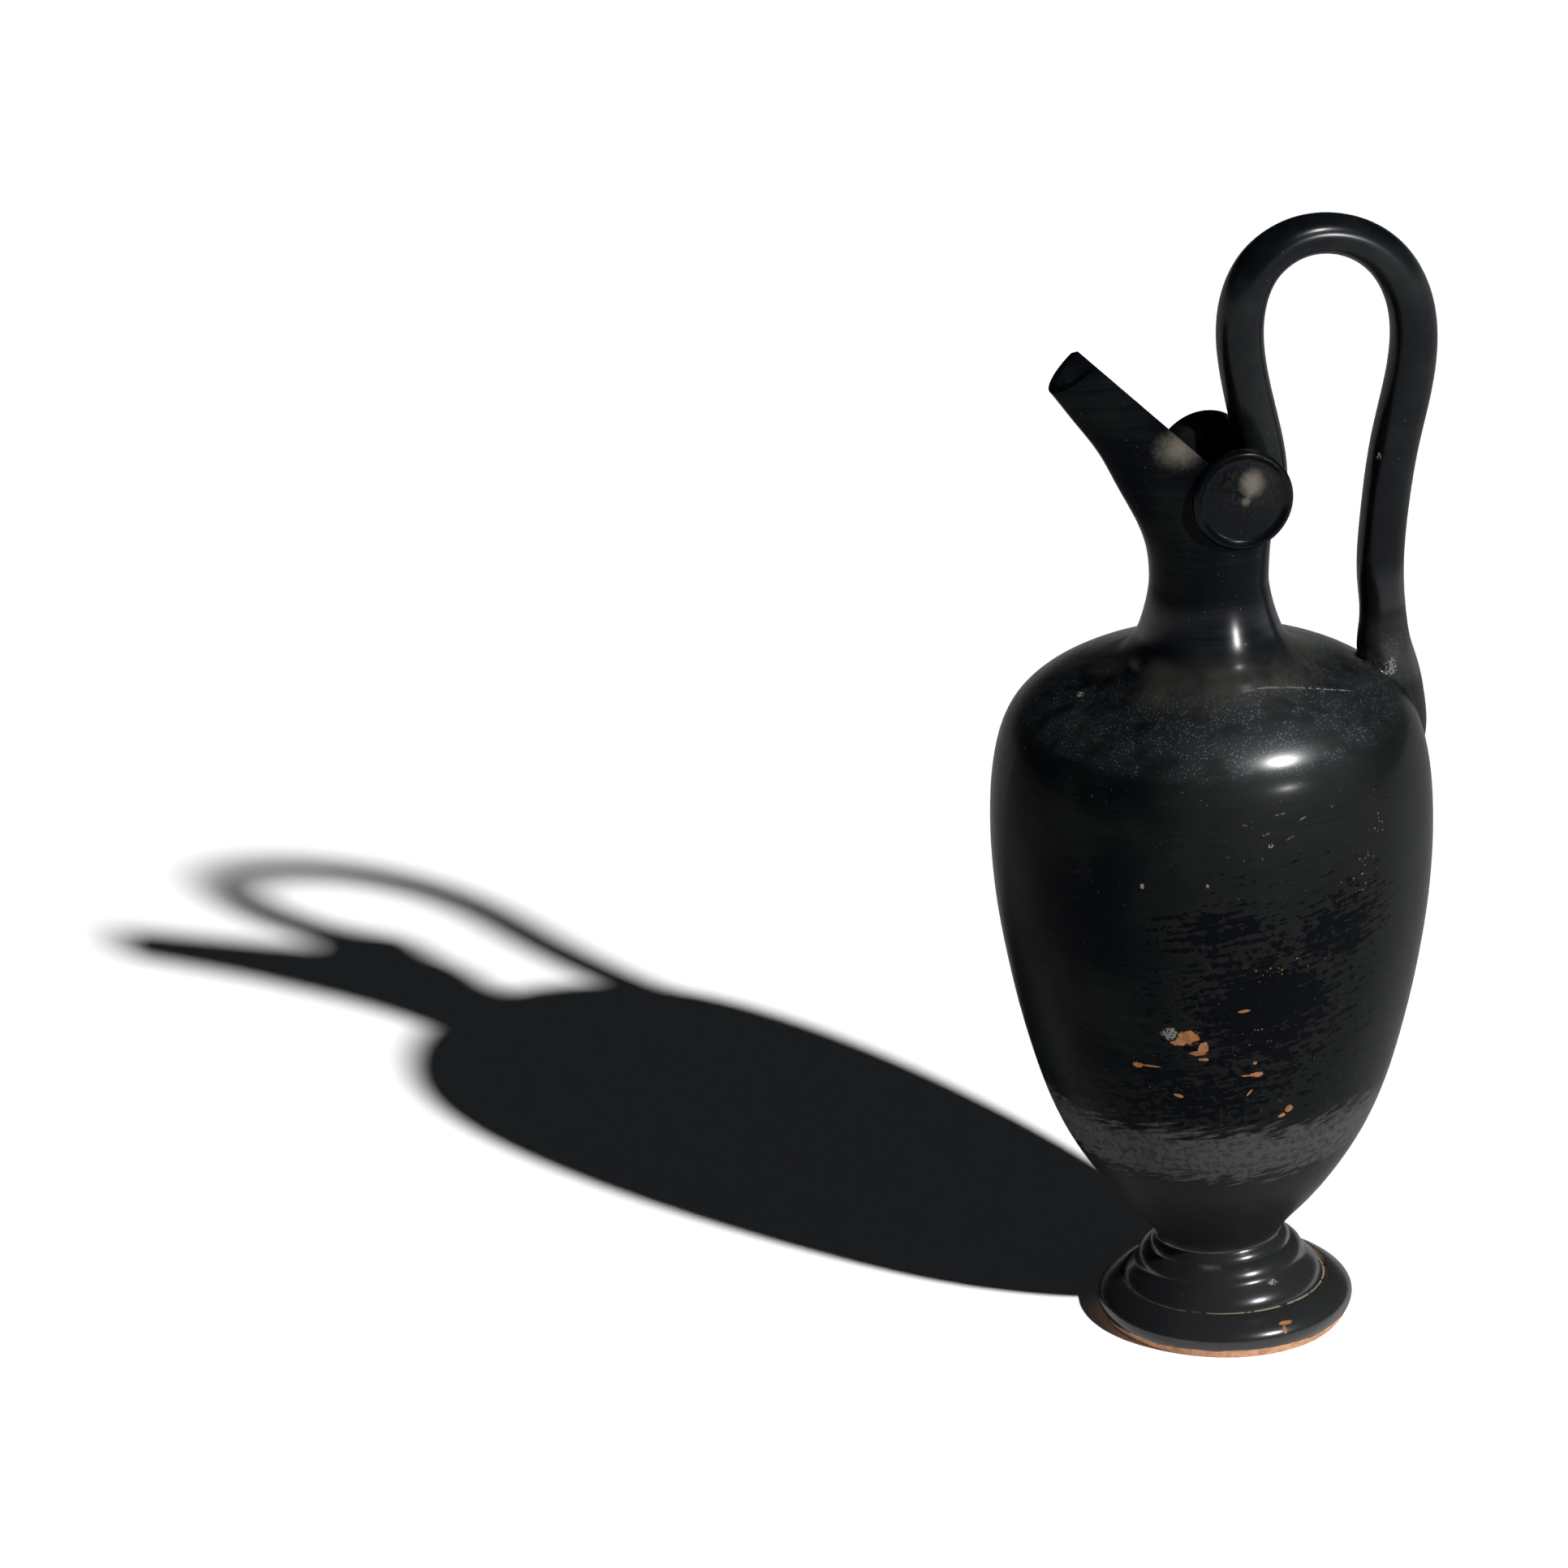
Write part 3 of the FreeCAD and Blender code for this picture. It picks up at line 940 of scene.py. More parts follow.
@dataclass(frozen=True)
class Effects:
    """Builds the shared node groups: spots, flecks, bands and dots."""

    fleck_edge: float = 0.03
    fleck_detail: float = 2.0
    dot_least: float = 0.16
    dot_more: float = 0.16
    dot_edge: float = 0.06

    def build(self) -> dict:
        """Builds each group once and gives them by name."""
        return {
            "spot": self.spot(),
            "fleck": self.fleck(),
            "band": self.band(),
            "dots": self.dots(),
        }

    def spot(self) -> NodeTree:
        """Depth inside a tilted oval: 1 in its middle, 0 on its edge, below 0 outside."""
        kinds = {"Place": "Vector", "Centre": "Vector", "Half size": "Vector", "Tilt": "Float"}
        effect = Effect("spot", kinds, "Depth")
        place, centre, half_size, tilt = effect.given
        board = effect.board
        feeds = {"Vector": board.vector("SUBTRACT", place, centre), "Angle": tilt}
        turned = board.value("VectorRotate", feeds, rotation_type="Z_AXIS")
        return effect.finished(1.0 - board.length(board.vector("DIVIDE", turned, half_size)))

    def fleck(self) -> NodeTree:
        """Small ragged flecks: 1 inside a fleck, 0 between them."""
        kinds = {"Place": "Vector", "Per length": "Float", "Level": "Float"}
        effect = Effect("fleck", kinds, "Mask")
        place, per_length, level = effect.given
        feeds = {"Vector": place, "Scale": per_length, "Detail": self.fleck_detail}
        cloud = effect.board.value("TexNoise", feeds)
        return effect.finished((cloud - level).step(0.0, self.fleck_edge))

    def band(self) -> NodeTree:
        """Soft band: 1 between two values, 0 beyond them."""
        kinds = dict.fromkeys(("Value", "Low", "High", "Softness"), "Float")
        effect = Effect("band", kinds, "Mask")
        value, low, high, softness = effect.given
        inside = effect.board.math("MINIMUM", (value - low) / softness, (high - value) / softness)
        return effect.finished(inside.step(-0.5, 0.5))

    def dots(self) -> NodeTree:
        """Small round dots, of which a share is kept: 1 inside a dot, 0 between them."""
        kinds = {"Place": "Vector", "Per length": "Float", "Share": "Float"}
        effect = Effect("dots", kinds, "Mask")
        place, per_length, share = effect.given
        board = effect.board
        distance = board.value("TexVoronoi", {"Vector": place, "Scale": per_length}, "Distance")
        chance, size, _ = board.parts(Value(board, distance.socket.node.outputs["Color"]))
        size = size * self.dot_more + self.dot_least
        kept = board.math("LESS_THAN", chance, share)
        return effect.finished((size - distance).step(-self.dot_edge, self.dot_edge) * kept)


class Surface(Board):
    """The nodes of the jug's material, with the places and cloudy values they all read."""

    unroll = 50.0
    body_shift = (1.999, 0, -0.056)
    body_lean = 1.41
    throwing_lines = (0.02, 0.02, 1.1)
    stroke_slope = 0.2
    stroke_scale = (0.12, 0.75)
    raggedness = 1.3
    grains = {
        "slow": (0.035,),
        "fine": (0.9, 4.0, 0.6),
        "blots": (0.46, 6.0, 0.62),
        "strokes": (1.0, 4.0, 0.6),
        "streaks": (1.0, 4.0, 0.65),
    }

    def __init__(self, tree: NodeTree, effects: dict) -> None:
        """Lays out the places, in millimetres, and the cloudy values.

        Args:
            tree: Nodes of the material.
            effects: The shared groups, by name.
        """
        super().__init__(tree)
        self.effects = effects
        local = self.value("TexCoord", {}, "Object")
        scale = [1 / MM] * 3
        self.here = self.value("Mapping", {"Vector": local, "Scale": scale})
        turn = (0, math.radians(self.body_lean), 0)
        feeds = {"Vector": local, "Location": self.body_shift, "Rotation": turn, "Scale": scale}
        self.body = self.value("Mapping", feeds)
        x, y, self.up = self.parts(self.body)
        self.across = self.math("ARCTAN2", y, x) * self.unroll
        self.flat = self.combined(self.across, self.up)
        along, rise = self.stroke_scale
        slope = self.up - self.across * self.stroke_slope
        drawn = self.combined(self.across * along, slope * rise)
        self.slow = self.noise(self.body, *self.grains["slow"])
        self.fine = self.noise(self.body, *self.grains["fine"])
        self.blots = self.noise(self.flat, *self.grains["blots"])
        self.strokes = self.noise(drawn, *self.grains["strokes"])
        self.ragged = (self.fine - 0.5) * self.raggedness
        self.thrown = self.value("Attribute", {}, "Fac", attribute_name="thrown")
        level = self.vector("MULTIPLY", self.body, self.throwing_lines)
        streaks = self.noise(level, *self.grains["streaks"])
        self.streak = (streaks - 0.5) * self.thrown + 0.5

    def effect(self, name: str, *values: object) -> Value:
        """Places a shared effect, with values for its inputs in their order."""
        return self.value("Group", dict(enumerate(values)), node_tree=self.effects[name])

    def depth(self, *places: object) -> Value:
        """Gives the greatest depth inside any of several places."""
        return self.largest(*[place.depth(self) for place in places])


@dataclass(frozen=True)
class Spot:
    """An oval place on the unrolled body: how far round and up, its half sizes and its tilt."""

    round: float
    up: float
    half_round: float
    half_up: float
    tilt: float = 0.0

    def depth(self, on: Surface) -> Value:
        """Gives 1 in the oval's middle and 0 on its edge."""
        half = (self.half_round, self.half_up, 1)
        tilt = math.radians(-self.tilt)
        return on.effect("spot", on.flat, (self.round, self.up, 0), half, tilt)


@dataclass(frozen=True)
class Ball:
    """A rounded place in the jug's own space: its middle and its three half sizes."""

    middle: tuple
    half: tuple
    strength: float = 1.0

    def depth(self, on: Surface) -> Value:
        """Gives the strength in the ball's middle and 0 on its edge."""
        return on.effect("spot", on.here, self.middle, self.half) * self.strength


@dataclass(frozen=True)
class Wear:
    """Where the slip is chipped, scuffed, worn through or dusty, and where a highlight is painted
    on the near disc.
    """

    chips: tuple = (
        Spot(-103.2, 102.4, 3.1, 2.2, 20), Spot(-105.6, 100.7, 2.0, 0.8),
        Spot(-99.4, 99.4, 1.3, 1.9, -20), Spot(-100.8, 97.7, 2.2, 0.7),
        Spot(-99.4, 95.8, 1.4, 0.5), Spot(-116.6, 92.4, 1.5, 0.8), Spot(-113.2, 92.6, 2.8, 0.3),
        Spot(-86.0, 90.3, 1.9, 0.8), Spot(-88.6, 90.2, 1.7, 0.3),
        Spot(-76.1, 77.8, 1.4, 1.1, 35), Spot(-77.9, 75.9, 1.2, 0.6, 10),
        Spot(-106.4, 84.0, 1.4, 0.6, -20), Spot(-87.6, 84.8, 1.3, 0.3, 55),
        Spot(-86.5, 94.0, 0.6, 0.5), Spot(-89.6, 110.4, 1.5, 0.5, 10),
        Spot(62.0, 96.0, 2.4, 1.3, 15), Spot(65.5, 93.5, 1.3, 0.6, -10),
        Spot(96.0, 121.0, 1.2, 0.8, 30), Spot(31.0, 70.0, 1.6, 0.7),
    )
    pale_marks: tuple = (
        Spot(-112.7, 146.2, 0.6, 0.8), Spot(-97.8, 147.2, 0.4, 0.7),
        Spot(-83.2, 157.1, 0.9, 0.6, 20), Spot(-107.6, 103.4, 2.5, 2.2),
        Spot(74.0, 150.0, 0.9, 0.7),
    )
    scratches: tuple = (
        Spot(-74.8, 162.9, 1.6, 0.3, 20), Spot(-84.2, 160.2, 1.4, 0.28, 15),
        Spot(-78.5, 158.4, 1.2, 0.25, 25), Spot(-80.5, 164.8, 2.2, 0.22, 5),
        Spot(-88.9, 163.0, 1.0, 0.25, -10),
    )
    worn_areas: tuple = (
        Spot(-84.5, 110.0, 30.0, 36.0), Spot(-67.0, 130.0, 20.0, 15.0, 15),
        Spot(-101.0, 83.0, 38.0, 13.0, 5), Spot(-97.0, 134.0, 18.0, 10.0, 8),
        Spot(66.0, 92.0, 20.0, 17.0, -10),
    )
    solid_areas: tuple = (
        Spot(-85.0, 111.0, 18.0, 13.5), Spot(-112.0, 92.0, 10.0, 7.0),
        Spot(64.0, 92.0, 9.0, 7.0),
    )
    fleck_areas: tuple = (
        Spot(-82.0, 122.5, 13.0, 4.5, 5), Spot(-61.0, 144.0, 7.0, 9.0),
        Spot(-54.0, 157.0, 4.5, 9.0), Spot(-86.0, 102.0, 6.0, 4.0),
    )
    dusty_and_highlit_places: tuple = (
        Ball((-19.5, -10.4, 250.3), (9.0, 5.0, 7.0), 0.95),
        Ball((1.0, -12.0, 249.5), (6.0, 4.0, 3.5), 0.8),
        # Near disc: a broad tint, partly dust and partly painted highlight; then a painted
        # highlight on the cone above the nipple, and one on the nipple.
        Ball((-2.5, -16.7, 240.5), (12.0, 7.0, 10.0), 0.22),
        Ball((-1.8, -16.3, 240.5), (4.6, 5.0, 5.0), 1.2),
        Ball((-3.9, -18.0, 236.2), (2.0, 2.5, 2.0), 0.9),
        Ball((35.0, -2.5, 182.0), (8.0, 7.0, 3.0), 0.45),
        Ball((-28.0, -3.0, 188.6), (4.5, 5.0, 2.0), 0.45),
        Ball((41.2, -6.0, 182.5), (5.0, 5.0, 6.0), 0.4),
        Ball((-11.0, -16.5, 20.2), (5.0, 4.0, 0.9), 0.6),
    )
    pale_places: tuple = (
        Ball((41.0, -7.1, 179.6), (1.9, 2.2, 2.6)),
        Ball((38.2, -3.6, 237.5), (0.9, 0.9, 1.2)),
        Ball((4.6, -22.0, 16.1), (1.8, 1.5, 0.8)),
        Ball((-42.2, 0.2, 180.9), (1.6, 1.6, 0.8)),
    )
    foot_chips: tuple = (
        Ball((4.9, -31.0, 8.3), (2.1, 1.6, 0.45)),
        Ball((4.2, -32.2, 7.1), (0.6, 1.4, 1.3)),
        Ball((-20.0, 24.0, 8.0), (1.8, 1.8, 0.7)),
    )


@dataclass(frozen=True)
class BlackSlip:
    """Worn black slip over orange clay, with a painted sheen round the lower body and a painted
    highlight on the near disc.

    Heights and distances are in millimetres. A pair of numbers is the start and the end of a
    smooth rise, two shares are a factor and what is added to it, and three shares are the
    factors of three values. A band or front is its lower end, upper end and softness. A gloss
    of three is a rise, a fall and a share. Dots and flecks are how many there are along a
    length, and their share or level. A patch is the grain of a noise and its smooth rise. A
    layer is a mask, its share and its colour, or two for mottled clay. A mark is a mask, how
    much it roughens, how much gloss it takes and how deep it lies.
    """

    blue_black: tuple = (0.0018, 0.0026, 0.0040, 1)
    olive: tuple = (0.0098, 0.0110, 0.0108, 1)
    worn: tuple = (0.0016, 0.0024, 0.0038, 1)
    bare_slip: tuple = (0.0108, 0.0118, 0.0108, 1)
    speck: tuple = (0.088, 0.105, 0.120, 1)
    dust: tuple = (0.046, 0.043, 0.035, 1)
    # Thick dust, also the colour of the painted highlight on the near disc.
    thick_dust_and_highlight: tuple = (0.170, 0.155, 0.125, 1)
    # Painted sheen: grey standing in for the floor's reflection on the lower body.
    sheen_grey: tuple = (0.072, 0.072, 0.074, 1)
    clay: tuple = (0.420, 0.195, 0.085, 1)
    deep_clay: tuple = (0.300, 0.130, 0.058, 1)
    foot_clay: tuple = (0.840, 0.470, 0.300, 1)
    foot_clay_worn: tuple = (0.580, 0.320, 0.195, 1)
    cream: tuple = (0.520, 0.440, 0.320, 1)
    scuff: tuple = (0.300, 0.290, 0.265, 1)
    wear: Wear = Wear()
    specular: float = 0.010
    coat_roughness: float = 0.22
    olive_front: tuple = (-101.0, 50.0, 30.0)
    olive_wander: float = 24.0
    olive_shares: tuple = (0.75, 0.25, 0.75)
    olive_rise: tuple = (0.44, 0.70)
    below_neck: tuple = (200.0, 186.0)
    speck_band: tuple = (173.5, 187.0, 4.0)
    speck_dots: tuple = (1.5, 0.75)
    speck_shares: tuple = (0.9, 0.07)
    sparse_flecks: tuple = (1.0, 0.73)
    sparse_share: float = 0.6
    dust_band: tuple = (184.0, 192.0, 4.0)
    dust_and_highlight_raggedness: float = 0.4
    dust_and_highlight_edge: tuple = (0.0, 1.0)
    worn_shares: tuple = (0.8, 2.8, 0.5)
    worn_edge: tuple = (0.36, 0.41)
    rubbed_edge: tuple = (0.05, 0.45)
    chip_edge: tuple = (0.0, 0.12)
    fleck_area_edge: tuple = (0.0, 0.6)
    orange_dots: tuple = (1.1, 0.3)
    orange_share: float = 0.6
    grit_flecks: tuple = (1.6, 0.45)
    scuff_edge: tuple = (0.05, 0.4)
    scratch_edge: tuple = (0.0, 0.6)
    scratch_share: float = 0.3
    # Painted sheen: its band on the lower body, and a fainter share below it down over the foot.
    sheen_band: tuple = (56.0, 71.0, 5.0)
    sheen_wander: float = 26.0
    sheen_streaks: float = 0.5
    sheen_breaks: tuple = (0.58, 0.82)
    sheen_shares: tuple = (0.65, 0.35)
    below_sheen: tuple = (64.0, 46.0)
    below_sheen_share: float = 0.18
    line_place: float = 24.5
    line_slope: float = 0.075
    line_width: tuple = (0.38, 0.12)
    line_start: tuple = (-9.0, -4.0)
    line_end: tuple = (25.0, 21.0)
    line_low: tuple = (176.0, 178.0)
    line_high: tuple = (196.0, 192.0)
    line_bright: tuple = (7.0, 13.0)
    line_shares: tuple = (0.6, 0.25)
    foot_slope: float = 0.0246
    foot_edge: tuple = (2.95, 2.6)
    foot_edge_wander: float = 2.4
    foot_edge_grain: float = 0.09
    recess_side: tuple = (24.9, 24.6)
    recess_top: tuple = (12.4, 12.2)
    groove_radius: float = 26.5
    groove_height: float = 10.1
    groove_shift: float = 0.3
    groove_width: tuple = (0.95, 0.4)
    nick_raggedness: float = 0.6
    nick_edge: tuple = (0.0, 0.15)
    roughness_shares: tuple = (0.12, 0.30)
    most_rough: float = 0.9
    far_gloss: tuple = (-125.0, -75.0)
    far_shares: tuple = (0.05, 0.01)
    edge_gloss: tuple = ((-62.0, -36.0), (40.0, 0.0), 0.08)
    shoulder_gloss: tuple = ((171.0, 178.0), (186.0, 180.0), 0.4)
    neck_gloss: tuple = ((192.0, 195.5), (208.0, 200.0), 0.35)
    foot_gloss: tuple = (27.0, 24.0)
    foot_share: float = 0.9
    hand_share: float = 0.10
    streak_shares: tuple = (0.8, 0.6)
    glancing: tuple = (0.85, 0.45)
    glancing_shares: tuple = (0.8, 0.2)
    lines_height: float = 0.08
    swell_grain: tuple = (0.18, 2.0)
    swell_height: float = 0.05
    grain_height: float = 0.014
    pit_flecks: tuple = (0.5, 0.74)
    pit_depth: float = 0.06
    patches = {
        "specks": ((0.12, 2.0), (0.34, 0.56)),
        "dust": ((0.09,), (0.30, 0.70)),
        "line": ((0.7, 2.0), (0.42, 0.55)),
        "groove": ((0.3,), (0.36, 0.47)),
        "mottle": ((0.45, 4.0), (0.38, 0.66)),
    }
    layers: tuple = (
        ("rubbed", 0.75, bare_slip),
        ("worn", 1.0, worn),
        ("specks", 0.9, speck),
        ("soft", 0.45, dust),
        # Thick dust, and the painted highlight on the near disc.
        ("dust_and_highlight", 0.8, thick_dust_and_highlight),
        # Painted sheen standing in for the floor's reflection round the lower body.
        ("floor_sheen", 1.0, sheen_grey),
        ("pale", 0.8, scuff),
        ("orange", 1.0, clay, deep_clay),
        ("base", 1.0, foot_clay, foot_clay_worn),
        ("line", 0.85, cream),
    )
    marks: tuple = (
        ("worn", 0.05, 0.0, 0.008),
        ("specks", 0.2, 0.3, 0.0),
        ("sheen", 0.1, 0.0, 0.0),
        ("soft", 0.2, 0.3, 0.0),
        ("dust_and_highlight", 0.4, 0.8, 0.0),
        ("bare", 0.4, 1.0, 0.0),
        ("pale", 0.3, 0.8, 0.03),
        ("rubbed", 0.0, 0.2, 0.0),
        ("chipped", 0.0, 0.0, 0.16),
        ("scratched", 0.0, 0.0, 0.03),
    )

    def patchy(self, on: Surface, place: Value, name: str) -> Value:
        """Breaks something up by one of the patches."""
        grain, rise = self.patches[name]
        return on.noise(place, *grain).step(*rise)

    def ground_tone(self, on: Surface) -> Value:
        """Mixes blue-black and olive slip, blue-black towards the beak's side."""
        shifted = on.across + on.slow * self.olive_wander
        front = on.effect("band", shifted, *self.olive_front) * on.up.step(*self.below_neck)
        slow, streaky, in_front = self.olive_shares
        tone = on.slow * slow + on.streak * streaky
        share = front * in_front + tone.step(*self.olive_rise)
        return on.mix(on.math("MINIMUM", share, 1.0), self.blue_black, self.olive)

    def speckles(self, on: Surface) -> Value:
        """Marks the fine pale specks round the shoulder and the few elsewhere."""
        shoulder = on.effect("band", on.up, *self.speck_band)
        specks = on.effect("dots", on.body, *self.speck_dots).scaled(*self.speck_shares)
        sparse = on.effect("fleck", on.here, *self.sparse_flecks) * self.sparse_share
        return on.largest(shoulder * specks * self.patchy(on, on.body, "specks"), sparse)

    def dusts_and_highlight(self, on: Surface) -> tuple:
        """Marks soft dust round the neck's root, and thick dust in a few places, with a painted
        highlight on the near disc's cone and nipple.
        """
        upper = on.effect("band", on.up, *self.dust_band)
        soft = upper * self.patchy(on, on.body, "dust")
        depth = on.depth(*self.wear.dusty_and_highlit_places) + on.ragged * self.dust_and_highlight_raggedness
        return soft, depth.step(*self.dust_and_highlight_edge)

    def worn_slip(self, on: Surface) -> tuple:
        """Marks the dark strokes and islands, and the rubbed slip between them."""
        grain = on.strokes + on.blots - 1.0
        area = on.depth(*self.wear.worn_areas)
        solid = on.largest(on.depth(*self.wear.solid_areas), 0.0)
        wide, grainy, dense = self.worn_shares
        dark = area * wide + grain * grainy + solid * dense
        return dark.step(*self.worn_edge), (area + grain).step(*self.rubbed_edge)

    def painted_sheen(self, on: Surface) -> Value:
        """Marks painted sheen: a ragged grey band standing in for the floor's reflection round the
        lower body.
        """
        height = on.up + (on.strokes - 0.5) * self.sheen_wander
        broken = (on.blots + on.streak * self.sheen_streaks).step(*self.sheen_breaks)
        return on.effect("band", height, *self.sheen_band) * broken.scaled(*self.sheen_shares)

    def pale_line(self, on: Surface) -> Value:
        """Marks the faint straight line across the shoulder in front of the neck."""
        x, y, z = on.parts(on.here)
        off = y + self.line_place - x * self.line_slope
        line = on.math("ABSOLUTE", off).step(*self.line_width)
        line = line * x.step(*self.line_start) * x.step(*self.line_end)
        line = line * z.step(*self.line_low) * z.step(*self.line_high)
        line = line * x.step(*self.line_bright).scaled(*self.line_shares)
        return line * self.patchy(on, on.here, "line")

    def foot_marks(self, on: Surface) -> tuple:
        """Marks bare clay round and under the foot, its chips, and the line in its groove.

        Args:
            on: Nodes of the material.

        Returns:
            The masks of the bare clay, the chips and the line.
        """
        x, y, z = on.parts(on.here)
        leant = z - x * self.foot_slope
        wavy = (on.noise(on.here, self.foot_edge_grain) - 0.5) * self.foot_edge_wander
        reach = on.length(on.combined(x, y))
        under = reach.step(*self.recess_side) * z.step(*self.recess_top)
        base = on.largest((leant + wavy).step(*self.foot_edge), under)
        nicks = on.depth(*self.wear.foot_chips) + on.ragged * self.nick_raggedness
        ring = on.length(on.combined(x + self.groove_shift, y))
        off = on.combined(ring - self.groove_radius, leant - self.groove_height)
        line = on.length(off).step(*self.groove_width) * self.patchy(on, on.here, "groove")
        return base, nicks.step(*self.nick_edge), line

    def masks(self, on: Surface) -> dict:
        """Lays out where each kind of wear lies, and where a sheen and a highlight are painted."""
        wear, ragged = self.wear, on.ragged
        worn, rubbed = self.worn_slip(on)
        # The second mask holds thick dust and the painted highlight on the near disc.
        soft, dust_and_highlight = self.dusts_and_highlight(on)
        base, nicked, line = self.foot_marks(on)
        chips = (on.depth(*wear.chips) + ragged).step(*self.chip_edge)
        chipped = on.largest(chips, nicked)
        area = on.depth(*wear.fleck_areas).step(*self.fleck_area_edge)
        flecks = on.effect("dots", on.flat, *self.orange_dots) * area * self.orange_share
        grit = on.effect("fleck", on.body, *self.grit_flecks)
        scuffed = on.depth(*wear.pale_marks, *wear.pale_places)
        scuffed = (scuffed + ragged).step(*self.scuff_edge) * grit
        scratched = (on.depth(*wear.scratches) + ragged).step(*self.scratch_edge)
        faint = scratched * grit * self.scratch_share
        # Painted sheen standing in for the floor's reflection: a band, and a fainter share below
        # it.
        sheen = self.painted_sheen(on)
        low = on.up.step(*self.below_sheen) * self.below_sheen_share
        return {
            "worn": worn,
            "rubbed": rubbed,
            "specks": self.speckles(on),
            "soft": soft,
            "dust_and_highlight": dust_and_highlight,
            "sheen": sheen,
            "floor_sheen": on.largest(sheen, low),
            "chipped": chipped,
            "orange": on.largest(chipped, flecks),
            "pale": on.largest(scuffed, faint, self.pale_line(on)),
            "scratched": scratched,
            "base": base,
            "line": line,
            "bare": on.largest(base, chipped, flecks, line),
        }

    def colour(self, on: Surface, masks: dict) -> Value:
        """Lays the colours over each other, from the slip up to the bare clay."""
        mottle = self.patchy(on, on.here, "mottle")
        colour = self.ground_tone(on)
        for name, share, *colours in self.layers:
            layer = on.mix(mottle, *colours) if len(colours) > 1 else colours[0]
            colour = on.mix(masks[name] * share, colour, layer)
        return colour

    def roughness(self, on: Surface, masks: dict) -> Value:
        """Makes worn, dusty and bare places duller."""
        rough = on.streak.scaled(*self.roughness_shares)
        for name, rougher, _, _ in self.marks:
            rough = rough + masks[name] * rougher
        return on.math("MINIMUM", rough, self.most_rough)

    def gloss(self, on: Surface, masks: dict) -> Value:
        """Makes shoulder, neck, handle and foot shine, and worn places less so."""
        across, up = on.across, on.up
        facing = on.value("LayerWeight", {"Blend": 0.5}, "Facing")
        gloss = across.step(*self.far_gloss).scaled(*self.far_shares)
        shiny = ((across, self.edge_gloss), (up, self.shoulder_gloss), (up, self.neck_gloss))
        for place, (start, end, share) in shiny:
            gloss = gloss + place.step(*start) * place.step(*end) * share
        gloss = gloss + (1.0 - on.thrown) * self.hand_share
        gloss = gloss + up.step(*self.foot_gloss) * self.foot_share
        gloss = gloss * on.streak.scaled(*self.streak_shares)
        for name, _, duller, _ in self.marks:
            gloss = gloss * (1.0 - masks[name] * duller)
        return gloss * facing.step(*self.glancing).scaled(*self.glancing_shares)

    def relief(self, on: Surface, masks: dict) -> Value:
        """Raises throwing lines and unevenness, and sinks chips, scratches and pits."""
        swell = on.noise(on.here, *self.swell_grain)
        height = on.streak * self.lines_height + swell * self.swell_height
        height = height + on.fine * self.grain_height
        for name, _, _, depth in self.marks:
            height = height - masks[name] * depth
        height = height - on.effect("fleck", on.here, *self.pit_flecks) * self.pit_depth
        return on.value("Bump", {"Strength": 1.0, "Distance": MM, "Height": height})

    def material(self, effects: dict) -> Material:
        """Builds the material.

        Args:
            effects: The shared groups, by name.

        Returns:
            The finished material.
        """
        made = bpy.data.materials.new("black_slip")
        made.use_nodes = True
        on = Surface(made.node_tree, effects)
        masks = self.masks(on)
        feeds = {
            "Base Color": self.colour(on, masks),
            "Roughness": self.roughness(on, masks),
            "Coat Weight": self.gloss(on, masks),
            "Normal": self.relief(on, masks),
            "Specular IOR Level": self.specular,
            "Coat Roughness": self.coat_roughness,
        }
        on.feed(made.node_tree.nodes["Principled BSDF"], feeds)
        return made


@dataclass(frozen=True)
class SmallLamp:
    """A narrow lamp that reaches only one part of the jug, in metres and degrees."""

    name: str
    watts: float
    at: tuple
    towards: tuple
    distance: float
    cone: float
    radius: float = 0.02

    def build(self) -> None:
        """Sets up the lamp."""
        lamp = bpy.data.lights.new(self.name, "SPOT")
        lamp.energy = self.watts
        lamp.shadow_soft_size = self.radius
        lamp.spot_size = math.radians(self.cone)
        lamp.spot_blend = 1.0
        made = linked(self.name, lamp)
        towards = Vector(self.towards)
        made.location = Vector(self.at) + towards * self.distance
        made.rotation_euler = towards.to_track_quat("Z", "Y").to_euler()


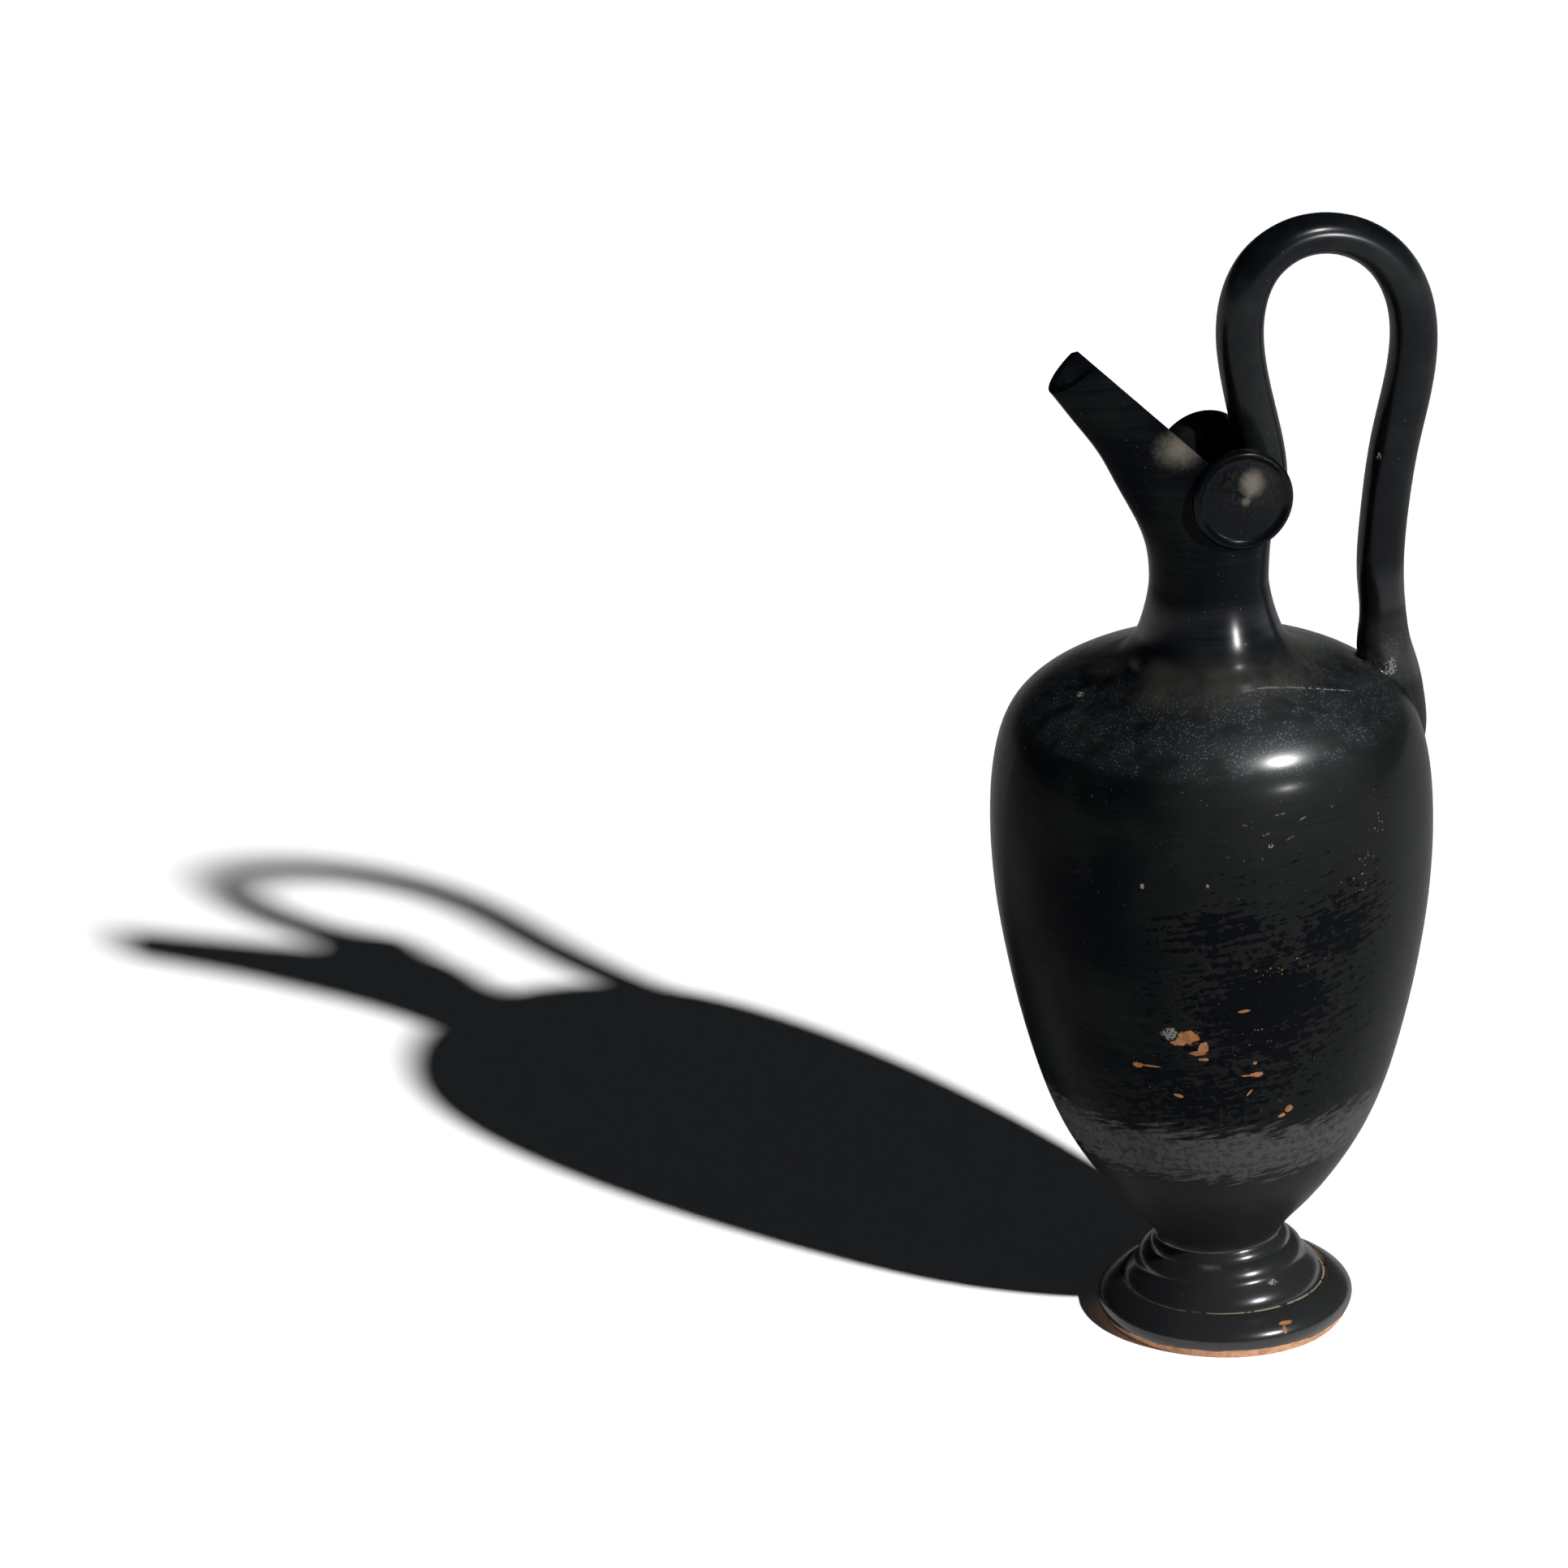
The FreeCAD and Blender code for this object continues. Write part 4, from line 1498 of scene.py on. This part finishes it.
@dataclass
class Studio:
    """Plain pale floor, key light, a few small lamps and the camera."""

    floor_radius: float = 30.0
    floor_colour: tuple = (0.9, 0.9, 0.9, 1)
    seen_floor: tuple = (1.6, 1.6, 1.6, 1)
    seen_by: tuple = ("Is Camera Ray", "Is Glossy Ray", "Is Transmission Ray")
    key_strength: float = 3.4
    key_angle: float = 2.0
    key_from: tuple = (0.567, -1.179, 1.0)
    small_lamps: tuple = (
        SmallLamp("shoulder", 190.0, (-0.0030, -0.0510, 0.1745), (0.337, -0.151, 0.929), 1.2, 2.2),
        SmallLamp("neck", 90.0, (0.0050, -0.0150, 0.2000), (0.403, -0.905, 0.130), 1.5, 2.6),
        SmallLamp("handle", 90.0, (0.0430, -0.0040, 0.2900), (0.403, -0.905, 0.130), 1.5, 4.4),
    )
    world_strength: float = 0.008
    world_colour: tuple = (0.80, 0.90, 1.0, 1)
    camera_place: tuple = (-1.65818, -4.21667, 2.123)
    camera_pitch: float = 23.546
    camera_turn: float = 20.0
    camera_roll: float = 0.145
    lens: float = 437.89
    sensor: float = 36.0
    clip: tuple = (0.1, 50.0)

    def floor(self) -> Object:
        """Builds the floor."""
        bm = bmesh.new()
        bmesh.ops.create_circle(bm, cap_ends=True, segments=64, radius=self.floor_radius)
        mesh = bpy.data.meshes.new("floor")
        bm.to_mesh(mesh)
        bm.free()
        made = linked("floor", mesh)
        mesh.materials.append(self.floor_finish())
        return made

    def floor_finish(self) -> Material:
        """Makes a matt floor that looks white where the light reaches it and keeps the shadow."""
        made = bpy.data.materials.new("floor_paint")
        made.use_nodes = True
        board = Board(made.node_tree)
        seen = board.largest(*[board.value("LightPath", {}, ray) for ray in self.seen_by])
        tone = board.mix(seen, self.floor_colour, self.seen_floor)
        feeds = {"Base Color": tone, "Roughness": 1.0, "Specular IOR Level": 0.0}
        board.feed(made.node_tree.nodes["Principled BSDF"], feeds)
        return made

    def lights(self) -> None:
        """Sets up the key light and the small lamps."""
        lamp = bpy.data.lights.new("key", "SUN")
        lamp.energy = self.key_strength
        lamp.angle = math.radians(self.key_angle)
        key = linked("key", lamp)
        key.rotation_euler = Vector(self.key_from).to_track_quat("Z", "Y").to_euler()
        for small in self.small_lamps:
            small.build()

    def world(self) -> None:
        """Lights the scene faintly from all round."""
        world = bpy.data.worlds.new("surroundings")
        bpy.context.scene.world = world
        world.use_nodes = True
        sky = world.node_tree.nodes["Background"]
        sky.inputs["Color"].default_value = self.world_colour
        sky.inputs["Strength"].default_value = self.world_strength

    def camera(self) -> None:
        """Sets up the camera at the photograph's angle and framing."""
        data = bpy.data.cameras.new("camera")
        data.lens = self.lens
        data.sensor_width = self.sensor
        data.clip_start, data.clip_end = self.clip
        camera = linked("camera", data)
        turn = turned(-self.camera_turn, "Z") @ turned(90 - self.camera_pitch, "X")
        roll = turned(self.camera_roll, "Z")
        camera.matrix_world = Matrix.Translation(self.camera_place) @ turn @ roll
        bpy.context.scene.camera = camera

    def build(self) -> None:
        """Builds the whole studio."""
        self.floor()
        self.lights()
        self.world()
        self.camera()
        bpy.context.scene.view_settings.view_transform = "Standard"


def main() -> None:
    """Builds the studio and the jug."""
    logging.basicConfig(level=logging.INFO, format="%(message)s")
    Studio().build()
    jug = Jug().build()
    jug.data.materials.clear()
    jug.data.materials.append(BlackSlip().material(Effects().build()))
    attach(jug, "root")
    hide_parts("oinochoe")


if __name__ == "__main__":
    main()
